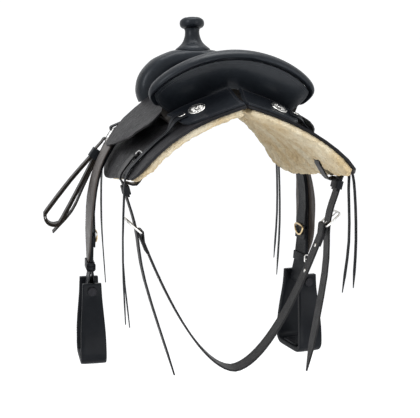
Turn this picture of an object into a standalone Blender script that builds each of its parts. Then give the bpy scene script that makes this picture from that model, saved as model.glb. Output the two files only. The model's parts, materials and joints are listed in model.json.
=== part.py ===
# Western trail saddle, modelled in metres with +Z up and the front of the saddle at +Y.
# The origin lies on the centre line, on top of the skirts at their rear edge.
import bpy
import bmesh
from math import sin, cos, pi, radians, sqrt, exp
from mathutils import Vector, Matrix

for old in list(bpy.data.objects):
    bpy.data.objects.remove(old, do_unlink=True)

# ---------- driving sizes ----------
GAP = 0.0003                # gap between neighbouring pieces of one section
LAYER = 0.0007              # gap between curved layers, whose facets differ

# the horse's back that every layer follows
REAR_Y = -0.345             # rear edge of the skirts
BACK_LENGTH = 0.575         # length over which the back rises to the withers
BACK_RISE = 0.036           # rise of the ridge over that length
SLOPE_REAR = 17.0           # side slope at the ridge, loin end, degrees
SLOPE_FRONT = 25.0          # side slope at the ridge, withers end, degrees
BARREL_TURN = 36.0          # extra slope once the barrel arc has been run
BARREL_ARC = 0.262

# leather and wool
SKIRT_T = 0.005
FLEECE_T = 0.020
JOCKEY_T = 0.004
SEAT_T = 0.010
COVER_T = 0.0035
FENDER_T = 0.0035
STRAP_T = 0.0035
LACE_T = 0.0022
LACE_W = 0.0125

# tree
BAR_TOP = 0.0245            # top of the bars above the horse side of the skirt
BAR_IN = 0.058              # inner edge of a bar, measured round the barrel from the ridge
BAR_OUT = 0.138
BAR_REAR = -0.235
BAR_FRONT = 0.245
FORK_Y = 0.212
FORK_DEPTH = 0.034          # half the fore and aft depth of the fork
FORK_TOP = 0.114
SWELL_HALF = 0.148
HORN_Y = 0.214
HORN_LEAN = 8.0             # forward lean of the horn, degrees
HORN_TOP = 0.191
HORN_CAP_R = 0.031
HORN_NECK_R = 0.017
CANTLE_HALF = 0.166
CANTLE_HIGH = 0.097
CANTLE_WIDE_Z = 0.028       # height at which the cantle is widest
CANTLE_RIM_Y = -0.240
CANTLE_FOOT_Y = -0.212
CANTLE_WOOD = 0.016
ROLL_R = 0.0095

# stirrup leathers, fenders and stirrups
LEG_Y = 0.125               # centre of the fender and the stirrup leather
HANG_EASE = 0.062           # arc over which the hanging leathers turn to the plumb
JOCKEY_FLARE = 0.0035       # lift of the seat jockey's tip over the fender
LEG_SPREAD = 2.4            # degrees by which the leathers stand off the skirt's slope
NOTCH_PLAY = 0.009          # slack of the leather's fold inside the notch
LEG_LIFT = 0.0068           # swinging room between the skirt and the leather
LEATHER_W = 0.060
FENDER_TOP_S = 0.172
BOLT_S = 0.600
STIRRUP_H = 0.196
STIRRUP_TOP_GAP = 0.068
STIRRUP_FLOOR_GAP = 0.112
STIRRUP_WALL = 0.014
STIRRUP_W_TOP = 0.045
STIRRUP_W_LOW = 0.061
BOLT_R = 0.006
PLUMB = {-1: 88.8, 1: 94.0}     # the off leathers lean in a little under the horse's belly
RIGHT_TWIST = 10.0          # the off stirrup hangs turned by this much, degrees

# rear rigging and flank cinch
FLANK_Y = -0.222
BILLET_W = 0.036
CINCH_W = 0.048

# ---------- materials ----------


def material(name, rgb, rough, metal=0.0):
    m = bpy.data.materials.new(name)
    m.use_nodes = True
    shader = m.node_tree.nodes["Principled BSDF"]
    shader.inputs["Base Color"].default_value = (rgb[0], rgb[1], rgb[2], 1.0)
    shader.inputs["Roughness"].default_value = rough
    shader.inputs["Metallic"].default_value = metal
    m.diffuse_color = (rgb[0], rgb[1], rgb[2], 1.0)
    return m


BLACK = material("black_leather", (0.018, 0.020, 0.024), 0.42)
GREY = material("worn_black_leather", (0.045, 0.046, 0.052), 0.45)
BROWN = material("dark_brown_leather", (0.060, 0.045, 0.036), 0.50)
WOOL = material("fleece", (0.66, 0.57, 0.42), 0.95)
WOOD = material("tree_rawhide", (0.52, 0.40, 0.26), 0.60)
STEEL = material("steel", (0.55, 0.55, 0.56), 0.35, 1.0)
SILVER = material("silver_trim", (0.78, 0.77, 0.74), 0.25, 1.0)
BRASS = material("brass", (0.72, 0.55, 0.28), 0.30, 1.0)


# ---------- meshes ----------


def add(name, bm, mat, smooth=40.0, origin=None):
    bmesh.ops.recalc_face_normals(bm, faces=bm.faces)
    mesh = bpy.data.meshes.new(name)
    bm.to_mesh(mesh)
    bm.free()
    mesh.materials.append(mat)
    if origin is not None:
        mesh.transform(Matrix.Translation(-Vector(origin)))
    mesh.shade_smooth()
    mesh.set_sharp_from_angle(angle=radians(smooth))
    ob = bpy.data.objects.new(name, mesh)
    if origin is not None:
        ob.location = origin
    bpy.context.collection.objects.link(ob)
    return ob


def loft(bm, rings, close=True, caps=True):
    """Skin a row of rings with the same count; close joins each ring end to end."""
    rows = [[bm.verts.new(p) for p in ring] for ring in rings]
    n = len(rows[0])
    last = n if close else n - 1
    for a, b in zip(rows[:-1], rows[1:]):
        for i in range(last):
            j = (i + 1) % n
            bm.faces.new((a[i], a[j], b[j], b[i]))
    if caps:
        bm.faces.new(rows[0])
        bm.faces.new(list(reversed(rows[-1])))
    return rows


def slab(bm, top, bottom):
    """A closed sheet between two grids of points with the same rows and columns."""
    t = [[bm.verts.new(p) for p in row] for row in top]
    b = [[bm.verts.new(p) for p in row] for row in bottom]
    rows, cols = len(t), len(t[0])
    for i in range(rows - 1):
        for j in range(cols - 1):
            bm.faces.new((t[i][j], t[i][j + 1], t[i + 1][j + 1], t[i + 1][j]))
            bm.faces.new((b[i][j], b[i + 1][j], b[i + 1][j + 1], b[i][j + 1]))
    rim = [(0, j) for j in range(cols)]
    rim += [(i, cols - 1) for i in range(1, rows)]
    rim += [(rows - 1, j) for j in range(cols - 2, -1, -1)]
    rim += [(i, 0) for i in range(rows - 2, 0, -1)]
    for k, (i, j) in enumerate(rim):
        p, q = rim[(k + 1) % len(rim)]
        bm.faces.new((t[i][j], b[i][j], b[p][q], t[p][q]))


def smooth_line(points, per):
    """Catmull-Rom curve through the points, with per steps between two of them."""
    pts = [Vector(p) for p in points]
    ends = [pts[0] * 2 - pts[1]] + pts + [pts[-1] * 2 - pts[-2]]
    out = []
    for k in range(1, len(ends) - 2):
        a, b, c, d = ends[k - 1:k + 3]
        for i in range(per):
            t = i / per
            out.append(0.5 * (2 * b + (c - a) * t + (2 * a - 5 * b + 4 * c - d) * t * t
                              + (3 * b - a - 3 * c + d) * t ** 3))
    out.append(pts[-1])
    return out


def resample(points, count):
    """The same line with count equal steps."""
    run = [0.0]
    for a, b in zip(points[:-1], points[1:]):
        run.append(run[-1] + (b - a).length)
    out = []
    k = 0
    for i in range(count + 1):
        want = run[-1] * i / count
        while k < len(run) - 2 and run[k + 1] < want:
            k += 1
        span = run[k + 1] - run[k]
        t = 0.0 if span == 0 else (want - run[k]) / span
        out.append(points[k].lerp(points[k + 1], min(1.0, max(0.0, t))))
    return out


def ease(t):
    t = min(1.0, max(0.0, t))
    return t * t * (3 - 2 * t)


def between(points, x):
    """Read a smooth value at x from a short row of (x, value) pairs."""
    if x <= points[0][0]:
        return points[0][1]
    for (a, p), (b, q) in zip(points[:-1], points[1:]):
        if x <= b:
            return p + (q - p) * ease((x - a) / (b - a))
    return points[-1][1]


# ---------- the horse's back ----------


def along(y):
    return (y - REAR_Y) / BACK_LENGTH


def slope(s, y):
    """Side slope in radians at arc length s from the ridge."""
    start = SLOPE_REAR + (SLOPE_FRONT - SLOPE_REAR) * along(y)
    return radians(start + BARREL_TURN * (s / BARREL_ARC) ** 1.6)


def back(s, y, h, side):
    """A point at arc length s down the side, y along the back, h above the horse."""
    steps = 24
    x = 0.0
    z = BACK_RISE * along(y)
    for i in range(steps):
        a = slope(s * (i + 0.5) / steps, y)
        x += cos(a) * s / steps
        z -= sin(a) * s / steps
    a = slope(s, y)
    return Vector((side * (x + h * sin(a)), y, z + h * cos(a)))


def arc_at(x, y, h):
    """Arc length whose point at height h lies over the distance x from the centre line."""
    lo, hi = 0.0, 0.40
    for _ in range(22):
        mid = (lo + hi) / 2
        if back(mid, y, h, 1).x < x:
            lo = mid
        else:
            hi = mid
    return (lo + hi) / 2


def height_at(x, y, h):
    """World height of the layer h above the horse, over the point x, y."""
    return back(arc_at(abs(x), y, h), y, h, 1).z


def outline_sides(corners, sides, radii, count):
    """Four edge lines, each resampled, of a four-cornered outline with round corners.

    corners are the four (s, y) corners; sides hold extra points on the way from each
    corner to the next; count gives the steps along sides 0 and 2, and along 1 and 3."""
    lines = []
    for k in range(4):
        row = [corners[k]] + list(sides[k]) + [corners[(k + 1) % 4]]
        line = smooth_line([(a, b, 0) for a, b in row], 12)
        lines.append(resample(line, 60))
    cut = []
    for k in range(4):
        line = lines[k]
        length = sum((b - a).length for a, b in zip(line[:-1], line[1:]))
        first = min(28, int(round(60 * radii[k] / length)))
        last = min(28, int(round(60 * radii[(k + 1) % 4] / length)))
        cut.append((line[first], line[first:61 - last], line[60 - last]))
    out = []
    for k in range(4):
        here = Vector((corners[k][0], corners[k][1], 0))
        there = Vector((corners[(k + 1) % 4][0], corners[(k + 1) % 4][1], 0))
        before = cut[(k - 1) % 4][2]
        after = cut[(k + 1) % 4][0]
        head = [bend(before, here, cut[k][0], 0.5 + 0.5 * i / 8) for i in range(8)]
        tail = [bend(cut[k][2], there, after, 0.5 * (i + 1) / 8) for i in range(8)]
        out.append(resample(head + cut[k][1] + tail, count[k % 2]))
    return out


def bend(a, b, c, t):
    return a * (1 - t) ** 2 + b * 2 * t * (1 - t) + c * t * t


def patch(corners, sides, radii, count):
    """Grid of (s, y) pairs filling a four-sided outline."""
    low, right, high, left = outline_sides(corners, sides, radii, count)
    high = list(reversed(high))
    left = list(reversed(left))
    nu, nv = count
    grid = []
    for j in range(nv + 1):
        v = j / nv
        row = []
        for i in range(nu + 1):
            u = i / nu
            p = low[i] * (1 - v) + high[i] * v + left[j] * (1 - u) + right[j] * u
            p -= (low[0] * (1 - u) * (1 - v) + low[nu] * u * (1 - v)
                  + high[0] * (1 - u) * v + high[nu] * u * v)
            row.append((max(p.x, 0.0), p.y))
        grid.append(row)
    return grid


def sheet(name, mat, grid, side, top, bottom):
    """A leather or wool sheet on the back; top and bottom give heights over (s, y)."""
    bm = bmesh.new()
    upper = [[back(s, y, top(s, y), side) for s, y in row] for row in grid]
    lower = [[back(s, y, bottom(s, y), side) for s, y in row] for row in grid]
    slab(bm, upper, lower)
    return add(name, bm, mat)


def strap_rings(points, wide, width, thick, tip=0.0):
    """Cross-sections of a flat strap; wide is the direction across it, tip the length of its point."""
    rings = []
    n = len(points)
    length = [0.0]
    for a, b in zip(points[:-1], points[1:]):
        length.append(length[-1] + (b - a).length)
    for k in range(n):
        run = points[min(k + 1, n - 1)] - points[max(k - 1, 0)]
        run.normalize()
        across = wide[k] if isinstance(wide, list) else wide
        across = (across - run * across.dot(run)).normalized()
        up = run.cross(across)
        half = (width(k / (n - 1)) if callable(width) else width) / 2
        if tip:
            half *= max(0.08, min(1.0, (length[-1] - length[k]) / tip))
        a = across * half
        b = up * thick / 2
        rings.append([points[k] - a - b, points[k] + a - b, points[k] + a + b, points[k] - a + b])
    return rings


def ribbon(bm, points, wide, width, thick, tip=0.0):
    """A flat strap along the points."""
    loft(bm, strap_rings(points, wide, width, thick, tip))


def tube(bm, points, radius, sides=8, closed=True, start=None):
    """A round bar along the points; closed joins its ends, as in a ring or a buckle frame."""
    n = len(points)
    rings = []
    normal = Vector(start) if start else Vector((0, 1, 0))
    for k in range(n):
        if closed:
            run = points[(k + 1) % n] - points[k - 1]
        else:
            run = points[min(k + 1, n - 1)] - points[max(k - 1, 0)]
        run.normalize()
        normal = (normal - run * normal.dot(run)).normalized()
        other = run.cross(normal)
        rings.append([points[k] + (normal * cos(2 * pi * i / sides) + other * sin(2 * pi * i / sides)) * radius
                      for i in range(sides)])
    if closed:
        rows = [[bm.verts.new(p) for p in ring] for ring in rings]
        for k in range(n):
            a = rows[k]
            b = rows[(k + 1) % n]
            for i in range(sides):
                j = (i + 1) % sides
                bm.faces.new((a[i], a[j], b[j], b[i]))
    else:
        loft(bm, rings)


def turned(bm, profile, frame, sides):
    """Turn a profile of (radius, height) pairs round the Z axis of the frame matrix."""
    rings = []
    for r, z in profile:
        rings.append([frame @ Vector((r * cos(2 * pi * i / sides), r * sin(2 * pi * i / sides), z))
                      for i in range(sides)])
    loft(bm, rings)


def rail(half_x, half_y, corner, per=3):
    """Points of a rounded rectangle in the XY plane, corner by corner."""
    out = []
    for k, (sx, sy) in enumerate(((1, 1), (-1, 1), (-1, -1), (1, -1))):
        for i in range(per + 1):
            a = pi / 2 * (k + i / per)
            out.append(Vector((sx * (half_x - corner) + corner * cos(a),
                               sy * (half_y - corner) + corner * sin(a), 0)))
    return out


def on_back(s, y, h, side):
    """Frame whose Z stands square off the back at (s, y, h) and whose X runs down the side."""
    p = back(s, y, h, side)
    down = (back(s + 0.002, y, h, side) - p).normalized()
    ahead = (back(s, y + 0.002, h, side) - p).normalized()
    out = down.cross(ahead) * side
    ahead = out.cross(down) * side
    m = Matrix.Identity(4)
    for i in range(3):
        m[i][0] = down[i]
        m[i][1] = ahead[i]
        m[i][2] = out[i]
        m[i][3] = p[i]
    return m


def carve(ob, cutter):
    mod = ob.modifiers.new("carve_" + cutter.name, "BOOLEAN")
    mod.operation = "DIFFERENCE"
    mod.object = cutter
    mod.solver = "EXACT"
    cutter.hide_render = True
    cutter.display_type = "WIRE"


SIDES = (("left", -1), ("right", 1))

# ---------- skirts and fleece ----------
BAR_FLOOR = SKIRT_T + LAYER                       # the bars lie on the skirts
UNDER_JOCKEY = BAR_TOP + LAYER                    # the jockeys lie on the bars
UNDER_FOOT = BAR_TOP + 0.0024                   # flat feet clear the crown of the bars
SKIRT_REAR_S = BARREL_ARC + 0.004
SKIRT_MID_S = SKIRT_REAR_S + 0.030
SKIRT_FRONT_S = SKIRT_REAR_S + 0.058
SKIRT_FRONT_Y = REAR_Y + 0.600
FLANK_HOLE_S = SKIRT_REAR_S - 0.034             # slot that the flank billet passes through


def skirt_outline(inset, ridge):
    """Corners and side points of a skirt, drawn in by inset, starting ridge from the centre."""
    corners = ((ridge, REAR_Y + inset), (SKIRT_REAR_S - inset, REAR_Y - 0.028 + inset),
               (SKIRT_FRONT_S - inset, SKIRT_FRONT_Y - inset), (BAR_IN + inset, SKIRT_FRONT_Y + 0.015 - inset))
    sides = (((0.110, REAR_Y + inset),),
             ((SKIRT_MID_S - inset, -0.130), (SKIRT_FRONT_S - inset, 0.080)),
             ((0.180, SKIRT_FRONT_Y + 0.018 - inset),),
             ((BAR_IN + inset, 0.0), (BAR_IN + inset, BAR_REAR + 0.05), (ridge, BAR_REAR - 0.030)))
    return corners, sides


skirts = {}
wools = {}
for hand, side in SIDES:
    grid = patch(*skirt_outline(0.0, 0.0006), (0.004, 0.048, 0.105, 0.030), (9, 18))
    skirts[hand] = sheet("skirt_" + hand, GREY, grid, side, lambda s, y: SKIRT_T, lambda s, y: 0.0)
    grid = patch(*skirt_outline(0.005, 0.010), (0.006, 0.045, 0.100, 0.026), (8, 13))
    bm = bmesh.new()
    upper = [[back(s, y, -LAYER, side) for s, y in row] for row in grid]
    lower = []
    for j, row in enumerate(grid):
        line = []
        for i, (s, y) in enumerate(row):
            edge = min(i, len(row) - 1 - i, j, len(grid) - 1 - j)
            deep = FLEECE_T * (0.45, 0.92, 1.0)[min(edge, 2)]
            line.append(back(s, y, -LAYER - deep, side))
        lower.append(line)
    slab(bm, upper, lower)
    wools[hand] = add("fleece_" + hand, bm, WOOL, 50)

# ---------- tree bars ----------
NOTCH_HALF = LEATHER_W / 2 + 0.016              # room for the leather to swing fore and aft
NOTCH_IN = BAR_IN + 0.024
LEATHER_LOW = SKIRT_T + LEG_LIFT                # inner strand of the stirrup leather
LEATHER_STEP = STRAP_T + LAYER
LEATHER_MID = LEATHER_LOW + LEATHER_STEP
FENDER_LOW = LEATHER_MID + LEATHER_STEP
WEB_LOW = SKIRT_T + 0.0015 + STRAP_T + 0.0015   # what is left of the bar inside the loop
WEB_TOP = BAR_TOP - STRAP_T - 0.0035


def bar_row(y, notch):
    inner = NOTCH_IN if notch else BAR_IN
    return [(inner + (BAR_OUT - inner) * i / 4, y) for i in range(5)]


for hand, side in SIDES:
    lines = [(BAR_REAR + (LEG_Y - NOTCH_HALF - BAR_REAR) * i / 7, False) for i in range(8)]
    lines += [(LEG_Y - NOTCH_HALF + 0.002, True), (LEG_Y, True), (LEG_Y + NOTCH_HALF - 0.002, True)]
    lines += [(LEG_Y + NOTCH_HALF + (BAR_FRONT - LEG_Y - NOTCH_HALF) * i / 4, False) for i in range(5)]
    top = []
    bottom = []
    for y, notch in lines:
        row = bar_row(y, notch)
        high = WEB_TOP if notch else BAR_TOP
        low = WEB_LOW if notch else BAR_FLOOR
        if y == BAR_REAR:
            high = (BAR_TOP + low) / 2
        fade = (1.0, 1.0, 1.0, 0.88, 0.62)
        top.append([back(s, y, low + (high - low) * fade[i], side) for i, (s, y) in enumerate(row)])
        bottom.append([back(s, y, low, side) for s, y in row])
    bm = bmesh.new()
    slab(bm, top, bottom)
    add("tree_bar_" + hand, bm, WOOD, 30)

# ---------- fork, swell cover and horn ----------


FORK_STEPS = 18
FORK_SIDES = 12


def fork_curve(t, grow):
    """Outer and inner points of the fork arch in the XZ plane, t from -1 (left) to 1 (right)."""
    a = t * pi / 2
    u = abs(t)
    foot = back(BAR_OUT + 0.004, FORK_Y, BAR_TOP, 1)
    wide = between(((0.0, 0.0), (0.30, 0.055), (0.52, 0.104), (0.70, 0.139), (0.84, SWELL_HALF), (1.0, foot.x)), u)
    tall = between(((0.0, FORK_TOP), (0.30, FORK_TOP - 0.007), (0.52, FORK_TOP - 0.026),
                    (0.70, FORK_TOP - 0.062), (0.84, FORK_TOP - 0.102), (1.0, foot.z)), u)
    inner = back(BAR_IN + 0.002, FORK_Y, BAR_TOP, 1)
    crown = FORK_TOP - 0.040
    low = Vector((inner.x * abs(sin(a)) ** 0.8, 0, inner.z + (crown - inner.z) * cos(a)))
    high = Vector((wide, 0, tall))
    out = (high - low).normalized() * grow
    high += out
    low -= out
    if t < 0:
        high.x = -high.x
        low.x = -low.x
    return low, high


def fork_ring(t, grow, sides):
    low, high = fork_curve(t, grow)
    mid = (low + high) / 2
    arm = (high - low) / 2
    deep = FORK_DEPTH + 0.004 * (1 - abs(t)) + grow
    ring = []
    for i in range(sides):
        a = 2 * pi * i / sides
        c, s = cos(a), sin(a)
        c = abs(c) ** 0.7 * (1 if c > 0 else -1)
        s = abs(s) ** 0.7 * (1 if s > 0 else -1)
        p = mid + arm * c
        ring.append(Vector((p.x, FORK_Y + 0.10 * (p.z - 0.05) + deep * s, p.z)))
    return ring


def fork_rings(grow, steps, sides, seat_on):
    rings = [fork_ring(-1 + 2 * k / steps, grow, sides) for k in range(steps + 1)]
    if seat_on is not None:
        for k in (0, steps):
            rings[k] = [Vector((p.x, p.y, height_at(p.x, p.y, seat_on))) for p in rings[k]]
    return rings


bm = bmesh.new()
loft(bm, fork_rings(0.0, FORK_STEPS, FORK_SIDES, UNDER_FOOT))
fork = add("tree_fork", bm, WOOD, 60)

bm = bmesh.new()
outer = fork_rings(GAP + COVER_T, FORK_STEPS, FORK_SIDES, UNDER_FOOT)
inner = fork_rings(GAP, FORK_STEPS, FORK_SIDES, UNDER_FOOT)
a = loft(bm, outer, caps=False)
b = loft(bm, inner, caps=False)
for k in (0, -1):
    for i in range(12):
        j = (i + 1) % 12
        bm.faces.new((a[k][i], a[k][j], b[k][j], b[k][i]))
swell = add("swell_cover", bm, BLACK, 60)

horn_frame = Matrix.Translation((0, HORN_Y, 0)) @ Matrix.Rotation(radians(-HORN_LEAN), 4, "X")
HORN_CAP_LOW = HORN_TOP - 0.026
post_profile = [(0.0085, FORK_TOP - 0.020), (0.0085, HORN_CAP_LOW + 0.004),
                (HORN_CAP_R - 0.0065, HORN_CAP_LOW + 0.008), (HORN_CAP_R - 0.0065, HORN_TOP - 0.011),
                (HORN_CAP_R - 0.0100, HORN_TOP - 0.008)]
bm = bmesh.new()
turned(bm, post_profile, horn_frame, 16)
add("horn_post", bm, STEEL)

hole = bmesh.new()
turned(hole, [(0.0090, FORK_TOP - 0.0205), (0.0090, FORK_TOP + 0.03)], horn_frame, 16)
post_hole = add("post_hole", hole, STEEL)
carve(fork, post_hole)
carve(swell, post_hole)

# the neck leather flares out over the top of the swells, and a copy of the swells cuts its foot
neck_out = [(0.050, FORK_TOP - 0.020), (0.043, FORK_TOP + 0.001), (0.030, FORK_TOP + 0.010),
            (HORN_NECK_R + 0.004, FORK_TOP + 0.023), (HORN_NECK_R, HORN_CAP_LOW - 0.008),
            (HORN_NECK_R + 0.003, HORN_CAP_LOW - 0.001)]
neck_in = [(0.0120, HORN_CAP_LOW - 0.001), (0.0120, FORK_TOP - 0.020)]
bm = bmesh.new()
rings = []
for r, z in neck_out + neck_in:
    rings.append([horn_frame @ Vector((r * cos(2 * pi * i / 20), r * sin(2 * pi * i / 20), z)) for i in range(20)])
rows = loft(bm, rings, caps=False)
for i in range(20):
    j = (i + 1) % 20
    bm.faces.new((rows[-1][i], rows[-1][j], rows[0][j], rows[0][i]))
neck = add("horn_neck_wrap", bm, BLACK)
bm = bmesh.new()
loft(bm, fork_rings(GAP + COVER_T + GAP, FORK_STEPS, FORK_SIDES, None))
carve(neck, add("neck_cut", bm, BLACK))

cap_out = [(0.0125, HORN_CAP_LOW), (HORN_CAP_R - 0.007, HORN_CAP_LOW), (HORN_CAP_R, HORN_CAP_LOW + 0.006),
           (HORN_CAP_R, HORN_TOP - 0.010), (HORN_CAP_R - 0.002, HORN_TOP - 0.005), (HORN_CAP_R - 0.010, HORN_TOP)]
cap_in = [(HORN_CAP_R - 0.0095, HORN_TOP - 0.0075), (HORN_CAP_R - 0.0060, HORN_TOP - 0.0107),
          (HORN_CAP_R - 0.0060, HORN_CAP_LOW + 0.0075), (0.0125, HORN_CAP_LOW + 0.0038)]
bm = bmesh.new()
rings = []
for r, z in cap_out + cap_in:
    rings.append([horn_frame @ Vector((r * cos(2 * pi * i / 24), r * sin(2 * pi * i / 24), z)) for i in range(24)])
low = rings[:len(cap_out)]
high = rings[len(cap_out):]
rows = [[bm.verts.new(p) for p in ring] for ring in low]
inside = [[bm.verts.new(p) for p in ring] for ring in high]
chain = rows + []
for a, b in list(zip(rows[:-1], rows[1:])) + list(zip(inside[:-1], inside[1:])) + [(inside[-1], rows[0])]:
    for i in range(24):
        j = (i + 1) % 24
        bm.faces.new((a[i], a[j], b[j], b[i]))
bm.faces.new(rows[-1])
bm.faces.new(inside[0])
add("horn_cap", bm, BLACK)

# ---------- cantle ----------
RIM_TURN = radians(128.0)   # the rim runs past its widest points and curls in below them


def rim(t):
    """A point of the cantle's rim, t from -1 (left tip) to 1 (right tip)."""
    a = t * RIM_TURN
    x = CANTLE_HALF * sin(a)
    if abs(a) <= pi / 2:
        z = CANTLE_WIDE_Z + (CANTLE_HIGH - CANTLE_WIDE_Z) * cos(a) ** 1.6
    else:
        z = CANTLE_WIDE_Z - CANTLE_HALF * 0.43 * abs(cos(a)) ** 1.2
    return Vector((x, CANTLE_RIM_Y + 0.058 * t * t, z))


def cantle_foot(t):
    x = rim(1.0).x * 0.97 * sin(t * pi / 2)
    y = CANTLE_FOOT_Y + 0.030 * t * t
    return Vector((x, y, height_at(x, y, UNDER_JOCKEY)))


def cantle_back_point(t, v):
    """The back of the cantle's wood, v from 0 at the foot to 1 at the rim."""
    p = cantle_foot(t).lerp(rim(t), v)
    belly = 0.010 * sin(pi * v) * (1 - t * t)
    return p + Vector((0, -belly * 0.4, 0))


def cantle_point(t, v, ahead):
    """The same surface moved ahead (towards the rider) by a distance."""
    e = 0.01
    across = cantle_back_point(min(t + e, 1), v) - cantle_back_point(max(t - e, -1), v)
    rise = cantle_back_point(t, min(v + e, 1)) - cantle_back_point(t, max(v - e, 0))
    if rise.length < 1e-6:
        rise = Vector((0, 0, 1))
    out = rise.cross(across)
    out.normalize()
    if out.y < 0:
        out = -out
    return cantle_back_point(t, v) + out * ahead


def cantle_grid(across, up, reach, low, high, ahead):
    rows = []
    for j in range(up + 1):
        v = low + (high - low) * j / up
        rows.append([cantle_point(-reach + 2 * reach * i / across, v, ahead) for i in range(across + 1)])
    return rows


def rest_on(row, h):
    """Lower a row of points onto the layer h above the horse."""
    return [Vector((p.x, p.y, height_at(p.x, p.y, h))) for p in row]


CANTLE_BACK_T = 0.0045
CANTLE_STEPS = 24
CANTLE_REACH = 0.975
wood_back = cantle_grid(CANTLE_STEPS, 5, CANTLE_REACH, 0.0, 0.94, 0.0)
wood_front = cantle_grid(CANTLE_STEPS, 5, CANTLE_REACH, 0.0, 0.94, CANTLE_WOOD)
wood_back[0] = rest_on(wood_back[0], UNDER_JOCKEY + 0.0005)
wood_front[0] = rest_on(wood_front[0], UNDER_JOCKEY + 0.0005)
bm = bmesh.new()
slab(bm, wood_back, wood_front)
add("tree_cantle", bm, WOOD, 50)

back_in = cantle_grid(CANTLE_STEPS, 5, CANTLE_REACH, 0.0, 0.94, -GAP)
back_out = cantle_grid(CANTLE_STEPS, 5, CANTLE_REACH, 0.0, 0.94, -GAP - CANTLE_BACK_T)
back_in[0] = rest_on(back_in[0], UNDER_JOCKEY + 0.0005)
back_out[0] = rest_on(back_out[0], UNDER_JOCKEY + 0.0005)
bm = bmesh.new()
slab(bm, back_in, back_out)
add("cantle_back", bm, BLACK, 50)

# the rolled rim stands behind and over the back, thick at the top and slim at the tips
bm = bmesh.new()
rings = []
for k in range(CANTLE_STEPS + 1):
    t = -CANTLE_REACH + 2 * CANTLE_REACH * k / CANTLE_STEPS
    edge = cantle_point(t, 0.94, 0.0)
    run = (rim(min(t + 0.01, 1)) - rim(max(t - 0.01, -1))).normalized()
    face = cantle_point(t, 0.94, 1.0) - edge
    face = (face - run * face.dot(run)).normalized()
    lift = face.cross(run)
    if lift.dot(edge - cantle_point(t, 0.5, 0.0)) < 0:
        lift = -lift
    r = ROLL_R * (0.50 + 0.50 * max(0.0, cos(t * pi / 2)) ** 0.8)
    mid = edge + lift * (r + LAYER) + face * (CANTLE_WOOD * 0.5 - 0.006)
    wide = r + 0.0065 * max(0.0, cos(t * pi / 2)) + 0.003
    rings.append([mid + face * wide * cos(2 * pi * i / 10) + lift * r * sin(2 * pi * i / 10) for i in range(10)])
loft(bm, rings)
add("cantle_roll", bm, BLACK, 60)

# ---------- seat ----------
SEAT_FRONT_Y = FORK_Y - 0.047
SEAT_REAR_Y = CANTLE_FOOT_Y + 0.034
SEAT_EDGE_T = 0.006
SEAT_LOW = 0.040            # height of the lowest part of the seat on the centre line


def seat_edge(y):
    """Arc length at which the seat leather ends, wider towards the cantle."""
    return between(((SEAT_REAR_Y, BAR_OUT - 0.012), (SEAT_FRONT_Y, BAR_IN + 0.022)), y)


def seat_crown(y):
    """Height of the seat on the centre line: a dip, then the rise over the fork."""
    ahead = max(0.0, (y + 0.060) / (SEAT_FRONT_Y + 0.060))
    behind = max(0.0, (-0.060 - y) / (-0.060 - SEAT_REAR_Y))
    return SEAT_LOW + 0.052 * ahead ** 1.9 + 0.022 * behind ** 2


def seat_flat(u, y, drop):
    """A point of the seat ahead of the cantle, u from -1 to 1 across, drop below its top."""
    edge = back(seat_edge(y), y, UNDER_JOCKEY + LAYER + SEAT_EDGE_T * (1 - drop / SEAT_T), 1)
    high = seat_crown(y) - drop
    return Vector((edge.x * u, y, high + (edge.z - high) * abs(u) ** 2.5))


def seat_rows(under):
    rows = []
    for j in range(14):
        v = j / 13
        y = SEAT_FRONT_Y + (SEAT_REAR_Y - SEAT_FRONT_Y) * min(1.0, v / 0.80)
        up = max(0.0, (v - 0.62) / 0.38)
        w = ease((v - 0.58) / 0.30)
        row = []
        for i in range(13):
            u = -1 + i / 6
            flat = seat_flat(u, y, SEAT_T if under else 0.0)
            wall = cantle_point(u * 0.70, 0.16 + 0.72 * up, CANTLE_WOOD + 3 * LAYER + (0.0 if under else SEAT_T))
            row.append(flat.lerp(wall, w))
        rows.append(row)
    return rows


bm = bmesh.new()
slab(bm, seat_rows(False), seat_rows(True))
add("seat", bm, GREY, 60)

ground_top = []
ground_low = []
for j in range(11):
    y = SEAT_FRONT_Y - 0.004 + (-0.120 - SEAT_FRONT_Y + 0.004) * j / 10
    bar_x = back(BAR_IN, y, UNDER_JOCKEY, 1).x
    wide = back(seat_edge(y), y, UNDER_JOCKEY, 1).x
    reach = (-bar_x - 0.010, -bar_x, -bar_x / 2, 0.0, bar_x / 2, bar_x, bar_x + 0.010)
    top = [seat_flat(x / wide, y, SEAT_T + 2 * LAYER) for x in reach]
    ground_top.append(top)
    ground_low.append([Vector((p.x, y, height_at(max(abs(p.x), bar_x), y, UNDER_JOCKEY))) for p in top])
bm = bmesh.new()
slab(bm, ground_top, ground_low)
add("ground_seat", bm, WOOD, 50)

# ---------- jockeys ----------


def rear_jockey_low(s, y):
    rise = ease((y - REAR_Y - 0.040) / 0.085)
    return BAR_FLOOR + (UNDER_JOCKEY - BAR_FLOOR) * rise


def seat_jockey_low(s, y):
    """The seat jockey laps over the rear jockey behind and lifts off the fender towards its tip."""
    lap = (JOCKEY_T + LAYER) * (1 - ease((y - CANTLE_FOOT_Y - 0.045) / 0.05))
    return UNDER_JOCKEY + lap + JOCKEY_FLARE * ease((s - BAR_OUT - 0.012) / 0.06) * ease((y - SEAT_REAR_Y) / 0.20)


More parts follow.
